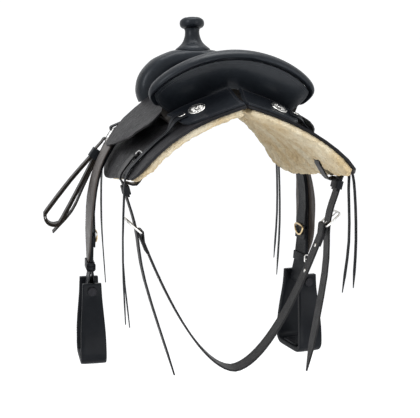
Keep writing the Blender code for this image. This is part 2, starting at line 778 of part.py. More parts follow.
JOCKEY_TIP_S = 0.264
JOCKEY_TIP_Y = LEG_Y - 0.005
for hand, side in SIDES:
    rear_corners = ((0.0008, REAR_Y + 0.007), (BAR_OUT - 0.010, REAR_Y + 0.083),
                    (BAR_OUT - 0.002, CANTLE_FOOT_Y + 0.014), (0.0008, CANTLE_FOOT_Y - 0.011))
    rear_sides = (((0.080, REAR_Y + 0.012), (0.116, REAR_Y + 0.040)), (), ((0.070, CANTLE_FOOT_Y - 0.003),), ())
    grid = patch(rear_corners, rear_sides, (0.003, 0.020, 0.006, 0.003), (8, 7))
    sheet("rear_jockey_" + hand, BLACK, grid, side, lambda s, y: rear_jockey_low(s, y) + JOCKEY_T, rear_jockey_low)

    edge_front = seat_edge(SEAT_FRONT_Y) + 0.0016
    mids = [SEAT_FRONT_Y + (SEAT_REAR_Y - SEAT_FRONT_Y) * k / 5 for k in range(1, 5)]
    corners = ((BAR_OUT + 0.010, SEAT_REAR_Y + 0.004), (0.172, CANTLE_FOOT_Y + 0.006), (JOCKEY_TIP_S, JOCKEY_TIP_Y),
               (edge_front, SEAT_FRONT_Y - 0.004))
    sides = ((), ((0.210, -0.135), (0.243, -0.020)), ((0.222, 0.142), (0.150, SEAT_FRONT_Y)),
             [(seat_edge(y) + 0.0016, y) for y in mids])
    grid = patch(corners, sides, (0.004, 0.030, 0.016, 0.004), (5, 14))
    sheet("seat_jockey_" + hand, GREY, grid, side, lambda s, y: seat_jockey_low(s, y) + JOCKEY_T, seat_jockey_low)

    corners = ((BAR_OUT + 0.012, SEAT_FRONT_Y + 0.006), (0.204, SEAT_FRONT_Y + 0.014), (0.180, 0.258),
               (BAR_IN + 0.008, BAR_FRONT + 0.030))
    sides = ((), (), ((0.120, 0.278),), ((0.112, BAR_FRONT + 0.015), (BAR_OUT + 0.013, BAR_FRONT - 0.010)))
    grid = patch(corners, sides, (0.006, 0.020, 0.030, 0.006), (5, 8))
    sheet("front_jockey_" + hand, BLACK, grid, side, lambda s, y: BAR_FLOOR + JOCKEY_T, lambda s, y: BAR_FLOOR)

# ---------- stirrup leathers and fenders ----------


HANG_FROM = (SKIRT_MID_S + SKIRT_FRONT_S) / 2   # the leathers leave the skirt here


def hang_slope(s, side):
    """Slope of the hanging leathers: they follow the barrel, then fall towards the plumb."""
    spread = radians(LEG_SPREAD) * ease((s - BAR_OUT) / 0.08)
    if s <= HANG_FROM:
        return slope(s, LEG_Y) - spread
    start = slope(HANG_FROM, LEG_Y) - spread
    return start + (radians(PLUMB[side]) - start) * (1 - exp((HANG_FROM - s) / HANG_EASE))


def hang(s, h, y, side):
    """A point on the hanging leathers: s down from the ridge, h outward, y from their centre."""
    steps = max(8, int(s / 0.008))
    x = 0.0
    z = BACK_RISE * along(LEG_Y)
    for i in range(steps):
        a = hang_slope(s * (i + 0.5) / steps, side)
        x += cos(a) * s / steps
        z -= sin(a) * s / steps
    a = hang_slope(s, side)
    z += y * BACK_RISE / BACK_LENGTH * (1 - ease((s - BARREL_ARC + 0.02) / 0.10))
    return twisted(Vector((side * (x + h * sin(a)), LEG_Y + y, z + h * cos(a))), side)


def twisted(p, side):
    """Turn the lower part of the off leathers about their own length, as they hang."""
    if side < 0:
        return p
    turn = radians(RIGHT_TWIST) * ease((TWIST_FROM - p.z) / 0.15)
    dx = p.x - TWIST_X
    dy = p.y - LEG_Y
    return Vector((TWIST_X + dx * cos(turn) - dy * sin(turn), LEG_Y + dx * sin(turn) + dy * cos(turn), p.z))


TWIST_FROM = -1e3
TWIST_X = 0.0
BOLT_H = LEATHER_MID - LAYER / 2
bolt_place = hang(BOLT_S, BOLT_H, 0.0, 1)
TWIST_X = bolt_place.x
TWIST_FROM = bolt_place.z + 0.175

LOOP_R = BOLT_R + 0.0008 + STRAP_T / 2
LEATHER_BUCKLE_S = BOLT_S - 0.142
FENDER_END_S = BOLT_S - 0.048
LEG_STATIONS = [FENDER_TOP_S + (FENDER_END_S - FENDER_TOP_S) * k / 14 for k in range(15)]


def leather_run():
    """Centre line of the stirrup leather as (s, h) pairs, from its holed end to its buckle end."""
    low = LEATHER_LOW + STRAP_T / 2
    mid = LEATHER_MID + STRAP_T / 2
    under = SKIRT_T + 0.0015 + STRAP_T / 2
    over = WEB_TOP + 0.0015 + STRAP_T / 2
    run = []
    run += [(s, low - LEATHER_STEP) for s in reversed(LEG_STATIONS)
            if LEATHER_BUCKLE_S < s < LEATHER_BUCKLE_S + 0.060]
    run += [(s, low) for s in reversed(LEG_STATIONS) if s < LEATHER_BUCKLE_S - 0.015]
    run += [(BAR_OUT + 0.012, (low + under) / 2), (BAR_OUT, under), (0.5 * (BAR_OUT + NOTCH_IN), under)]
    r = (over - under) / 2
    centre = NOTCH_IN - NOTCH_PLAY
    for k in range(7):
        a = pi * k / 6
        run.append((centre - r * sin(a), under + r - r * cos(a)))
    run += [(0.5 * (BAR_OUT + NOTCH_IN), over), (BAR_OUT + 0.002, over), (BAR_OUT + 0.014, (over + mid) / 2)]
    run += [(s, mid) for s in LEG_STATIONS]
    run.append((BOLT_S - 0.020, BOLT_H + LOOP_R * 0.75))
    for k in range(9):
        a = pi * k / 8
        run.append((BOLT_S + LOOP_R * sin(a), BOLT_H + LOOP_R * cos(a)))
    run.append((BOLT_S - 0.020, BOLT_H - LOOP_R * 0.75))
    run += [(s, low) for s in reversed(LEG_STATIONS) if s > LEATHER_BUCKLE_S + 0.004]
    return run


def fender_half(s, ahead):
    """Half width of the fender, a little fuller on its front edge."""
    w = between(((FENDER_TOP_S, 0.034), (0.265, 0.044), (0.300, 0.050), (0.350, 0.066), (0.400, 0.080), (0.470, 0.068),
                 (BOLT_S - 0.064, 0.028), (FENDER_END_S, 0.010)), s)
    return w * (1.0 + 0.07 * ahead * ease((w - 0.04) / 0.05))


def leg_ribbon(bm, run, side, width, thick):
    """A strap whose centre line is given in (s, h), all of its width square to that line."""
    rings = []
    for k, (s, h) in enumerate(run):
        s0, h0 = run[max(k - 1, 0)]
        s1, h1 = run[min(k + 1, len(run) - 1)]
        d = Vector((s1 - s0, h1 - h0)).normalized() * thick / 2
        a = (s - d.y, h + d.x)
        b = (s + d.y, h - d.x)
        rings.append([hang(a[0], a[1], -width / 2, side), hang(a[0], a[1], width / 2, side),
                      hang(b[0], b[1], width / 2, side), hang(b[0], b[1], -width / 2, side)])
    loft(bm, rings)


def collar(bm, place, s0, s1, h0, h1, y0, y1, thick):
    """A flat loop of leather round a bundle; place turns (s, h, y) into a point."""
    loops = []
    mid_h, mid_y = (h0 + h1) / 2, (y0 + y1) / 2
    for s, grow in ((s0, 0.0), (s0, thick), (s1, thick), (s1, 0.0)):
        edge = rail((h1 - h0) / 2 + grow, (y1 - y0) / 2 + grow, 0.0012 + grow, 2)
        loops.append([place(s, mid_h + p.x, mid_y + p.y) for p in edge])
    rows = [[bm.verts.new(p) for p in loop] for loop in loops]
    n = len(rows[0])
    for k in range(4):
        a = rows[k]
        b = rows[(k + 1) % 4]
        for i in range(n):
            j = (i + 1) % n
            bm.faces.new((a[i], a[j], b[j], b[i]))


for hand, side in SIDES:
    pivot = hang(NOTCH_IN - 0.003, (WEB_LOW + WEB_TOP) / 2, 0.0, side)
    bm = bmesh.new()
    leg_ribbon(bm, leather_run(), side, LEATHER_W, STRAP_T)
    add("stirrup_leather_" + hand, bm, BLACK, 50, pivot)

    bm = bmesh.new()
    top = []
    bottom = []
    for s in LEG_STATIONS:
        ys = [-fender_half(s, -1) + (fender_half(s, -1) + fender_half(s, 1)) * i / 5 for i in range(6)]
        top.append([hang(s, FENDER_LOW + FENDER_T, y, side) for y in ys])
        bottom.append([hang(s, FENDER_LOW, y, side) for y in ys])
    slab(bm, top, bottom)
    add("fender_" + hand, bm, BROWN, 50, pivot)

    # the D buckle lies on the horse side of the holed strand
    bm = bmesh.new()
    wire = 0.0028
    lie = LEATHER_LOW - LEATHER_STEP - GAP - wire
    frame = []
    for k in range(12):
        a = pi * k / 11
        frame.append(hang(LEATHER_BUCKLE_S + 0.004 + 0.026 * sin(a), lie, 0.031 * cos(a), side))
    tube(bm, frame, wire, 6)
    add("leather_buckle_" + hand, bm, BRASS, 60, pivot)

    bm = bmesh.new()
    collar(bm, lambda s, h, y: hang(s, h, y, side), BOLT_S - 0.066, BOLT_S - 0.046,
           LEATHER_LOW - 3 * GAP, FENDER_LOW + FENDER_T + 3 * GAP,
           -LEATHER_W / 2 - 3 * GAP, LEATHER_W / 2 + 3 * GAP, 0.0026)
    add("hobble_strap_" + hand, bm, BLACK, 40, pivot)

    bm = bmesh.new()
    wire = 0.0016
    flat = -LEATHER_W / 2 - 3 * GAP - 0.0026 - GAP - wire
    tube(bm, [hang(BOLT_S - 0.056 + p.x, (LEATHER_LOW + FENDER_LOW + FENDER_T) / 2 + p.y, flat, side)
              for p in rail(0.0094, 0.0095, 0.003, 1)], wire, 6)
    add("hobble_buckle_" + hand, bm, STEEL, 60, pivot)

# ---------- stirrups ----------
STIRRUP_RISE = 0.018        # height of the stirrup's top above its bolt


def stirrup_path():
    """Half of the stirrup's centre line in (y, z) below the bolt, from the top to mid tread."""
    top_y = (STIRRUP_TOP_GAP + STIRRUP_WALL) / 2
    low_y = (STIRRUP_FLOOR_GAP + STIRRUP_WALL) / 2
    floor = STIRRUP_RISE - STIRRUP_H + STIRRUP_WALL / 2
    turn = 0.020
    straight = -2.4 * BOLT_R
    line = [(top_y, STIRRUP_RISE), (top_y, straight)]
    for k in range(1, 5):
        f = k / 4
        line.append((top_y + (low_y - top_y) * ease(0.1 + 0.9 * f) ** 0.8, straight + (floor + turn - straight) * f))
    for k in range(1, 5):
        a = pi / 2 * k / 4
        line.append((low_y - turn + turn * cos(a), floor + turn - turn * sin(a)))
    line.append((low_y * 0.35, floor))
    return line


def stirrup_width(z):
    """The legs widen towards the tread."""
    f = ease((STIRRUP_RISE - z) / (STIRRUP_H * 0.75))
    return STIRRUP_W_TOP + (STIRRUP_W_LOW - STIRRUP_W_TOP) * f


for hand, side in SIDES:
    hinge = hang(BOLT_S, BOLT_H, 0.0, side)
    turn = Matrix.Rotation(radians(RIGHT_TWIST) if side > 0 else 0.0, 4, "Z")
    frame = Matrix.Translation(hinge) @ turn
    half = stirrup_path()
    line = [(y, z) for y, z in half] + [(-y, z) for y, z in reversed(half)]
    rings = []
    for k, (y, z) in enumerate(line):
        y0, z0 = line[max(k - 1, 0)]
        y1, z1 = line[min(k + 1, len(line) - 1)]
        run = Vector((0, y1 - y0, z1 - z0)).normalized()
        out = Vector((0, run.z, -run.y)) * STIRRUP_WALL / 2
        wide = Vector((stirrup_width(z) / 2, 0, 0))
        mid = Vector((0, y, z))
        cut = 0.72
        ring = [mid - wide - out * cut, mid - wide * 0.90 - out, mid + wide * 0.90 - out, mid + wide - out * cut,
                mid + wide + out * cut, mid + wide * 0.90 + out, mid - wide * 0.90 + out, mid - wide + out * cut]
        rings.append([frame @ p for p in ring])
    bm = bmesh.new()
    loft(bm, rings)
    body = add("stirrup_" + hand, bm, BLACK, 40, hinge)

    reach = STIRRUP_TOP_GAP / 2 + STIRRUP_WALL
    lie = frame @ Matrix.Rotation(radians(-90), 4, "X")
    bm = bmesh.new()
    turned(bm, [(BOLT_R + GAP, -reach - 0.02), (BOLT_R + GAP, reach + 0.02)], lie, 12)
    carve(body, add("bolt_hole_" + hand, bm, STEEL))
    bm = bmesh.new()
    head = BOLT_R + 0.0045
    end = reach + 0.0012
    turned(bm, [(head, -end - 0.004), (head, -end), (BOLT_R, -end), (BOLT_R, end), (head, end), (head, end + 0.004)], lie, 12)
    add("stirrup_bolt_" + hand, bm, STEEL, 30, hinge)

    floor = STIRRUP_RISE - STIRRUP_H + STIRRUP_WALL + GAP
    bm = bmesh.new()
    rings = []
    for z, grow in ((floor, 0.0), (floor + 0.003, 0.0), (floor + 0.0045, -0.0015)):
        rings.append([frame @ (p + Vector((0, 0, z))) for p in
                      rail(STIRRUP_W_LOW / 2 - 0.004 + grow, STIRRUP_FLOOR_GAP / 2 - 0.021 + grow, 0.008 + grow, 2)])
    loft(bm, rings)
    add("stirrup_tread_" + hand, bm, BLACK, 30, hinge)

# ---------- rear rigging, billets and flank cinch ----------
ACROSS = Vector((0, 1, 0))
STRAP_ROOM = 0.003                              # room for the billet to swing over the skirt
CINCH_LOW = -0.566
KEEPER_X = 0.228
KEEPER_Z = -0.170
RAIL_X = 0.1985                                 # bar of the flank buckle that holds the cinch
RAIL_Z = -0.2605
BUCKLE_WIRE = 0.0022
RIG_WIRE = 0.0016
BUCKLE_REACH = 0.042
BUCKLE_LEAN = radians(42.0)
TAIL_END = {"left": (0.128, -0.574), "right": (0.166, -0.584)}


def flank_point(s, h):
    return back(s, FLANK_Y, h, 1)


billet_swing = flank_point(FLANK_HOLE_S, (SKIRT_T - FLEECE_T) / 2)
out_dir = Vector((cos(BUCKLE_LEAN), 0, sin(BUCKLE_LEAN)))
rail_at = Vector((RAIL_X, FLANK_Y, RAIL_Z))
pass_at = rail_at + out_dir * 0.0130
keeper_at = Vector((KEEPER_X, FLANK_Y, KEEPER_Z))
fall = (pass_at - keeper_at).normalized()
square = Vector((-fall.z, 0, fall.x))
strand = (STRAP_T + LAYER) / 2

RING_SINK = 0.0006          # the skirt curves away under the ring's bars, so it lies this much lower
RING_BOW = 0.0020           # how far the ring's lower bar bows out, so that the billet can rock on it


def bowed(points, half):
    """A rail whose lower bar arches away from the skirt over its middle stretch."""
    bar = [Vector((points[0].x, half * k / 3, RING_BOW * (1 - (k / 3) ** 2))) for k in range(-3, 4)]
    low = max(p.x for p in points)
    for p in bar:
        p.x = low
    first = [k for k in range(len(points)) if points[k].x > low - 1e-6 and points[k - 1].x > low - 1e-6][0]
    if points[first].y < points[first - 1].y:
        bar.reverse()
    return points[first:] + points[:first] + bar


for hand, side in SIDES:
    flip = Matrix.Diagonal((side, 1, 1, 1))
    origin = flip @ billet_swing
    out_h = SKIRT_T + LAYER + 2 * RIG_WIRE + RING_BOW + 0.0006 + STRAP_T / 2
    in_h = -FLEECE_T - STRAP_ROOM - STRAP_T / 2
    edge_s = SKIRT_REAR_S + 0.016
    tail = Vector((TAIL_END[hand][0], FLANK_Y, TAIL_END[hand][1]))
    inner = smooth_line([keeper_at + fall * 0.016 - square * strand, keeper_at - fall * 0.012 - square * strand,
                         flank_point(edge_s, in_h), flank_point(FLANK_HOLE_S + 0.014, in_h)], 3)
    over = [flank_point(FLANK_HOLE_S + 0.005, in_h + 0.001), flank_point(FLANK_HOLE_S, in_h + 0.004),
            flank_point(FLANK_HOLE_S - 0.001, (out_h + in_h) / 2), flank_point(FLANK_HOLE_S, out_h - 0.003),
            flank_point(FLANK_HOLE_S + 0.004, out_h - 0.0004)]
    outer = smooth_line([flank_point(FLANK_HOLE_S + 0.014, out_h), flank_point(edge_s, out_h),
                         keeper_at - fall * 0.012 + square * strand, keeper_at + fall * 0.016 + square * strand,
                         pass_at, pass_at.lerp(tail, 0.35) + Vector((0.010, 0, 0)), tail], 4)
    bm = bmesh.new()
    ribbon(bm, [flip @ p for p in inner + over + outer], ACROSS, BILLET_W, STRAP_T, 0.060)
    add("flank_billet_" + hand, bm, BLACK, 40, origin)

    def keeper_place(s, h, y):
        return flip @ (keeper_at + fall * s + square * h + ACROSS * y)

    bm = bmesh.new()
    half = 2 * strand + LAYER
    wide = BILLET_W / 2 + LAYER
    collar(bm, keeper_place, -0.007, 0.011, -half, half, -wide, wide, 0.0026)
    add("billet_keeper_" + hand, bm, BLACK, 40, origin)

    bm = bmesh.new()
    mid = rail_at + out_dir * BUCKLE_REACH / 2
    loop = [flip @ (mid + out_dir * p.x + ACROSS * p.y)
            for p in rail(BUCKLE_REACH / 2, BILLET_W / 2 + 0.006, 0.005, 2)]
    tube(bm, loop, BUCKLE_WIRE, 6, start=Vector((0, 0, 1)))
    add("flank_buckle_" + hand, bm, SILVER, 60, origin)

    # a slot through the skirt and the wool lets the billet pass
    room = BILLET_W / 2 + 0.008
    slot_low = [back(s, y, -FLEECE_T - 0.02, side) for s, y in
                ((FLANK_HOLE_S - 0.007, FLANK_Y - room), (FLANK_HOLE_S + 0.007, FLANK_Y - room),
                 (FLANK_HOLE_S + 0.007, FLANK_Y + room), (FLANK_HOLE_S - 0.007, FLANK_Y + room))]
    slot_top = [back(s, y, SKIRT_T + 0.02, side) for s, y in
                ((FLANK_HOLE_S - 0.007, FLANK_Y - room), (FLANK_HOLE_S + 0.007, FLANK_Y - room),
                 (FLANK_HOLE_S + 0.007, FLANK_Y + room), (FLANK_HOLE_S - 0.007, FLANK_Y + room))]
    bm = bmesh.new()
    loft(bm, [slot_low, slot_top])
    slot = add("flank_slot_" + hand, bm, STEEL)
    carve(skirts[hand], slot)
    carve(wools[hand], slot)

    bm = bmesh.new()
    place = on_back(FLANK_HOLE_S, FLANK_Y, SKIRT_T + LAYER + RIG_WIRE - RING_SINK, side)
    tube(bm, [place @ p for p in bowed(rail(0.0125, room + 0.005, 0.007, 2), room - 0.002)], RIG_WIRE, 6)
    add("rear_rigging_" + hand, bm, SILVER, 60)

# the cinch folds round the buckle bar at each end and hangs in one sweep between them
fold_r = BUCKLE_WIRE + 0.0004 + STRAP_T / 2


def cinch_line(x):
    lift = (abs(x) / RAIL_X) ** 1.75
    return Vector((x, FLANK_Y, CINCH_LOW + (RAIL_Z - 0.004 - CINCH_LOW) * lift))


sweep = [cinch_line((RAIL_X - 0.006) * (1 - 2 * k / 34)) for k in range(35)]
head = (sweep[0] - sweep[1]).normalized()
off = Vector((-head.z, 0, head.x))
if off.x > 0:
    off = -off
fold = []
for k in range(7):
    a = pi * k / 6
    fold.append(rail_at - off * fold_r * cos(a) + head * fold_r * sin(a))
under = [fold[0] - head * 0.045, fold[0] - head * 0.022, fold[0]]
right_half = under + fold[1:]
line = right_half + [p for p in sweep if (p - rail_at).length > 0.016 and (p - Vector((-rail_at.x, FLANK_Y, RAIL_Z))).length > 0.016]
line += [Vector((-p.x, p.y, p.z)) for p in reversed(right_half)]
bm = bmesh.new()
ribbon(bm, line, ACROSS, lambda f: BILLET_W + (CINCH_W - BILLET_W) * ease((0.5 - abs(f - 0.5)) / 0.33 - 0.45), STRAP_T)
add("flank_cinch", bm, BLACK, 40, Vector((0, billet_swing.y, billet_swing.z)))

# ---------- front rigging and latigo ----------
DEE_S = 0.242
DEE_Y = 0.232
DEE_WIRE = 0.0028
DEE_LIFT = 0.020            # the dee stands off the skirt, pushed out by the straps under it
LATIGO_W = 0.038
LATIGO_T = 0.0032
LATIGO_OUT = 0.130          # how far out from the dee the loop hangs
LATIGO_DOWN = 0.186         # and how far down
LOOP_OUTER = 0.024

for hand, side in SIDES:
    place = on_back(DEE_S, DEE_Y, SKIRT_T + DEE_LIFT, side)
    bm = bmesh.new()
    tube(bm, [place @ p for p in rail(0.017, LATIGO_W / 2 + 0.0075, 0.0055, 2)], DEE_WIRE, 6)
    add("front_dee_" + hand, bm, SILVER, 60)

    # the rigging leather comes from under the front jockey and folds round the dee's upper bar
    bar = place @ Vector((-0.017, 0, 0))
    down = (place @ Vector((0.01, 0, 0)) - place.translation).normalized()
    lift = (place @ Vector((0, 0, 0.01)) - place.translation).normalized()
    r = DEE_WIRE + 0.0007 + LATIGO_T / 2
    lie = BAR_FLOOR + JOCKEY_T + LAYER + LATIGO_T / 2
    path = [back(s, DEE_Y, lie + LATIGO_T + LAYER, side) for s in (DEE_S - 0.074, DEE_S - 0.058, DEE_S - 0.042)]
    path += [bar + (lift * cos(a) + down * sin(a)) * r for a in [radians(-40 + 27.5 * k) for k in range(9)]]
    path += [back(s, DEE_Y, lie, side) for s in (DEE_S - 0.042, DEE_S - 0.058, DEE_S - 0.074)]
    bm = bmesh.new()
    ribbon(bm, path, (place @ Vector((0, 1, 0)) - place.translation).normalized(), LATIGO_W - 0.002, LATIGO_T)
    add("rigging_leather_" + hand, bm, BLACK, 50)

dee = on_back(DEE_S, DEE_Y, SKIRT_T + DEE_LIFT, -1)
low_bar = dee @ Vector((0.017, 0, 0))
latigo_across = (dee @ Vector((0, 1, 0)) - dee.translation).normalized()
outward = latigo_across.cross(Vector((0, 0, -1))).normalized()
centre = low_bar + outward * LATIGO_OUT + Vector((0, 0, -LATIGO_DOWN))
fall = (centre - low_bar).normalized()
beside = Vector((0, 0, 1)).cross(latigo_across)
beside = (beside - fall * beside.dot(fall)).normalized()
if beside.dot(outward) < 0:
    beside = -beside
step = LATIGO_T + LAYER
neck = low_bar + fall * 0.050                   # where the keeper gathers the strands


def drop_loop(radius, first, last):
    """A hanging loop: down from the keeper on the outer strand, round, and up on the inner."""
    points = [neck + beside * first, neck.lerp(centre, 0.45) + beside * (first * 0.4 + radius * 0.62)]
    for k in range(7):
        a = -radians(8) + radians(196) * k / 6
        points.append(centre + beside * radius * cos(a) + fall * radius * sin(a))
    points += [neck.lerp(centre, 0.45) - beside * (radius * 0.50 - last * 0.4), neck + beside * last]
    return smooth_line(points, 2)


tail_tip = centre - beside * (LOOP_OUTER - 0.004) + fall * 0.035
line = [tail_tip, centre - beside * (LOOP_OUTER + 0.0055) - fall * 0.035,
        neck.lerp(centre, 0.45) - beside * (LOOP_OUTER * 0.50 + 0.008),
        neck - beside * 2 * step, neck - fall * 0.022 - beside * 2 * step]
line = smooth_line(line, 3)
wrap = DEE_WIRE + 0.0008 + LATIGO_T / 2
top = [low_bar - beside * wrap + fall * 0.010]
top += [low_bar + (-beside * cos(a) - fall * sin(a)) * wrap for a in [pi * k / 6 for k in range(7)]]
top += [low_bar + beside * wrap + fall * 0.010]
line += top + [neck - fall * 0.022 + beside * 2 * step]
line += drop_loop(LOOP_OUTER, 2 * step, -step)
line += [neck - fall * 0.014 + beside * k * step - fall * 0.004 * (1 - abs(k)) for k in (-1.0, -0.5, 0.5, 1.0)]
line += drop_loop(LOOP_OUTER - step - 0.0006, step, 0.0)
line += [neck - fall * 0.006]
bm = bmesh.new()
ribbon(bm, line, latigo_across, LATIGO_W, LATIGO_T)
add("latigo", bm, BROWN, 50)


def latigo_place(s, h, y):
    return neck + fall * s + beside * h + latigo_across * y


bm = bmesh.new()
thick = 2.5 * step + LAYER
wide = LATIGO_W / 2 + 2 * GAP
collar(bm, latigo_place, -0.020, 0.005, -thick, thick, -wide, wide, 0.0026)
add("latigo_keeper", bm, BLACK, 40)

# ---------- saddle strings and conchos ----------
CONCHO_S = 0.083
CONCHO_Y = -0.262
CONCHO_R = 0.0185
FRONT_STRING_S = 0.208
FRONT_STRING_Y = 0.236
STRING_S = 0.114
STRING_Y = -0.262
STRING_OUT = 0.006          # how far outside the skirt's edge the ends hang
STRING_HANG = {-1: (0.262, 0.278), 1: (0.205, 0.222)}
LACE_PITCH = 0.0150         # from one hanging end to the other
LACE_TIP = 0.030


def on_sheet(low, s, y, h, side):
    """Frame lying on a sheet whose height is a function of s and y."""
    p = back(s, y, low(s, y) + h, side)
    down = back(s + 0.002, y, low(s + 0.002, y) + h, side) - p
    ahead = back(s, y + 0.002, low(s, y + 0.002) + h, side) - p
    down.normalize()
    out = (down.cross(ahead) * side).normalized()
    ahead = out.cross(down) * side
    m = Matrix.Identity(4)
    for i in range(3):
        m[i][0], m[i][1], m[i][2], m[i][3] = down[i], ahead[i], out[i], p[i]
    return m


def jockey_skin(s, y):
    return rear_jockey_low(s, y) + JOCKEY_T


CONCHO = ((1.0, 0.0), (1.0, 0.07), (0.86, 0.16), (0.80, 0.14), (0.45, 0.25), (0.12, 0.27))


def lace(name, first, second, tilt):
    """One flat thong doubled through the leather: two hanging ends joined by a square bight.
    tilt is the direction across it where it lies on the leather."""
    wides = smooth_line([tilt.copy() for _ in range(2)] + [ACROSS.copy() for _ in first[2:]], 3)
    a = strap_rings(smooth_line(first, 3), wides, LACE_W, LACE_T, LACE_TIP)
    b = strap_rings(smooth_line(second, 3), wides, LACE_W, LACE_T, LACE_TIP)
    up_a = (a[0][1] - a[1][1]).normalized() * LACE_W
    up_b = (b[0][0] - b[1][0]).normalized() * LACE_W
    a[0] = [a[0][0] + up_a, a[0][1], a[0][2], a[0][3] + up_a]
    b[0] = [b[0][0], b[0][1] + up_b, b[0][2] + up_b, b[0][3]]
    b = [[ring[1], ring[0], ring[3], ring[2]] for ring in b]
    bm = bmesh.new()
    loft(bm, list(reversed(a)) + b)
    add(name, bm, BLACK, 40)


for hand, side in SIDES:
    rise = LAYER + LACE_T / 2
    bm = bmesh.new()
    turned(bm, [(a * CONCHO_R, b * CONCHO_R) for a, b in CONCHO],
           on_sheet(jockey_skin, CONCHO_S, CONCHO_Y, LAYER, side), 16)
    add("rear_concho_" + hand, bm, SILVER, 40)

    # rear strings lie down the rear jockey and the skirt, pass its edge and hang free
    drift = 0.0 if side < 0 else -0.016
    tilt = back(STRING_S, STRING_Y + 0.006, jockey_skin(STRING_S, STRING_Y + 0.006), side)
    tilt -= back(STRING_S, STRING_Y - 0.006, jockey_skin(STRING_S, STRING_Y - 0.006), side)
    ends = []
    for k, length in ((-1, STRING_HANG[side][0]), (1, STRING_HANG[side][1])):
        y = STRING_Y + LACE_PITCH / 2 * k
        start = jockey_skin(STRING_S, y) + rise + 0.0007
        edge = back(SKIRT_REAR_S + 0.004, y - 0.010 + drift, SKIRT_T + 0.0045, side)
        foot = edge + Vector((side * (STRING_OUT - 0.002 * k), 0.005 * k, -0.045))
        ends.append([back(STRING_S + 0.004, y, start, side), back(STRING_S + 0.019, y, start, side),
                     back(STRING_S + 0.040, y - 0.002 + drift * 0.2, SKIRT_T + rise + 0.0035, side),
                     back(STRING_S + 0.070, y - 0.004 + drift * 0.5, SKIRT_T + rise + 0.0014, side),
                     back(STRING_S + 0.115, y - 0.007 + drift * 0.8, SKIRT_T + rise + 0.0014, side),
                     edge, foot, foot + Vector((side * 0.004, 0.003 * k, -length * 0.5)),
                     foot + Vector((-side * 0.004 * (k + 1), 0.004 * k, -length))])
    lace("rear_strings_" + hand, *ends, tilt.normalized())

    # front strings come out from under the front jockey's lower edge
    lie = SKIRT_T + rise + 0.0001
    ends = []
    for k, length in ((-1, 0.285), (1, 0.245)):
        y = FRONT_STRING_Y + LACE_PITCH / 2 * k
        edge = back(FRONT_STRING_S + 0.070, y - 0.002, SKIRT_T + 0.004, side)
        foot = edge + Vector((side * 0.012, 0.018 + 0.002 * k, -0.050))
        ends.append([back(FRONT_STRING_S + 0.006, y, lie, side), back(FRONT_STRING_S + 0.035, y, lie, side),
                     edge, foot, foot + Vector((side * 0.003, 0.003 * k, -length / 2)),
                     foot + Vector((-side * 0.004, 0.004 * k, -length))])
    lace("front_strings_" + hand, *ends, ACROSS)
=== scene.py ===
import json
import math
import bmesh
import bpy
import numpy as np
from mathutils import Matrix, Vector, noise
from mathutils.bvhtree import BVHTree


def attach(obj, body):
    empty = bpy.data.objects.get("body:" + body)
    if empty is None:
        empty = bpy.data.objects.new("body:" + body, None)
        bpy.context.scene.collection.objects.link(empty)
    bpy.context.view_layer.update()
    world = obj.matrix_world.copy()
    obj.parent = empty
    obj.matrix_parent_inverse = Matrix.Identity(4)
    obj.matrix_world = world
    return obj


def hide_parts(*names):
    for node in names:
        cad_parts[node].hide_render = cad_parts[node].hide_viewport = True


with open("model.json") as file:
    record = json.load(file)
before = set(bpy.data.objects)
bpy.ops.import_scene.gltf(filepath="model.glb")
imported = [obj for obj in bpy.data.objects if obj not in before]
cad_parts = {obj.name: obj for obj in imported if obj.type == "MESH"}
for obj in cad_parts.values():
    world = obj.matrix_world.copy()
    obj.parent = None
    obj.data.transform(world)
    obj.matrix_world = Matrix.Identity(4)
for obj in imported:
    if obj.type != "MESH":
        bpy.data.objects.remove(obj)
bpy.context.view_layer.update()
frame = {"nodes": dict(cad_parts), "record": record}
NODES = frame["nodes"]
BODY = {n: b for b, names in frame["record"]["behaviour"]["bodies"].items() for n in names}
SIDES = (("left", -1), ("right", 1))
SOFT_FORM = 66     # degrees: on a rounded form only edges sharper than this are rolled
LEG_Y = 0.125      # metres: the middle of the legs, fore and aft
FLANK_Y = -0.222   # metres: the middle of the flank straps


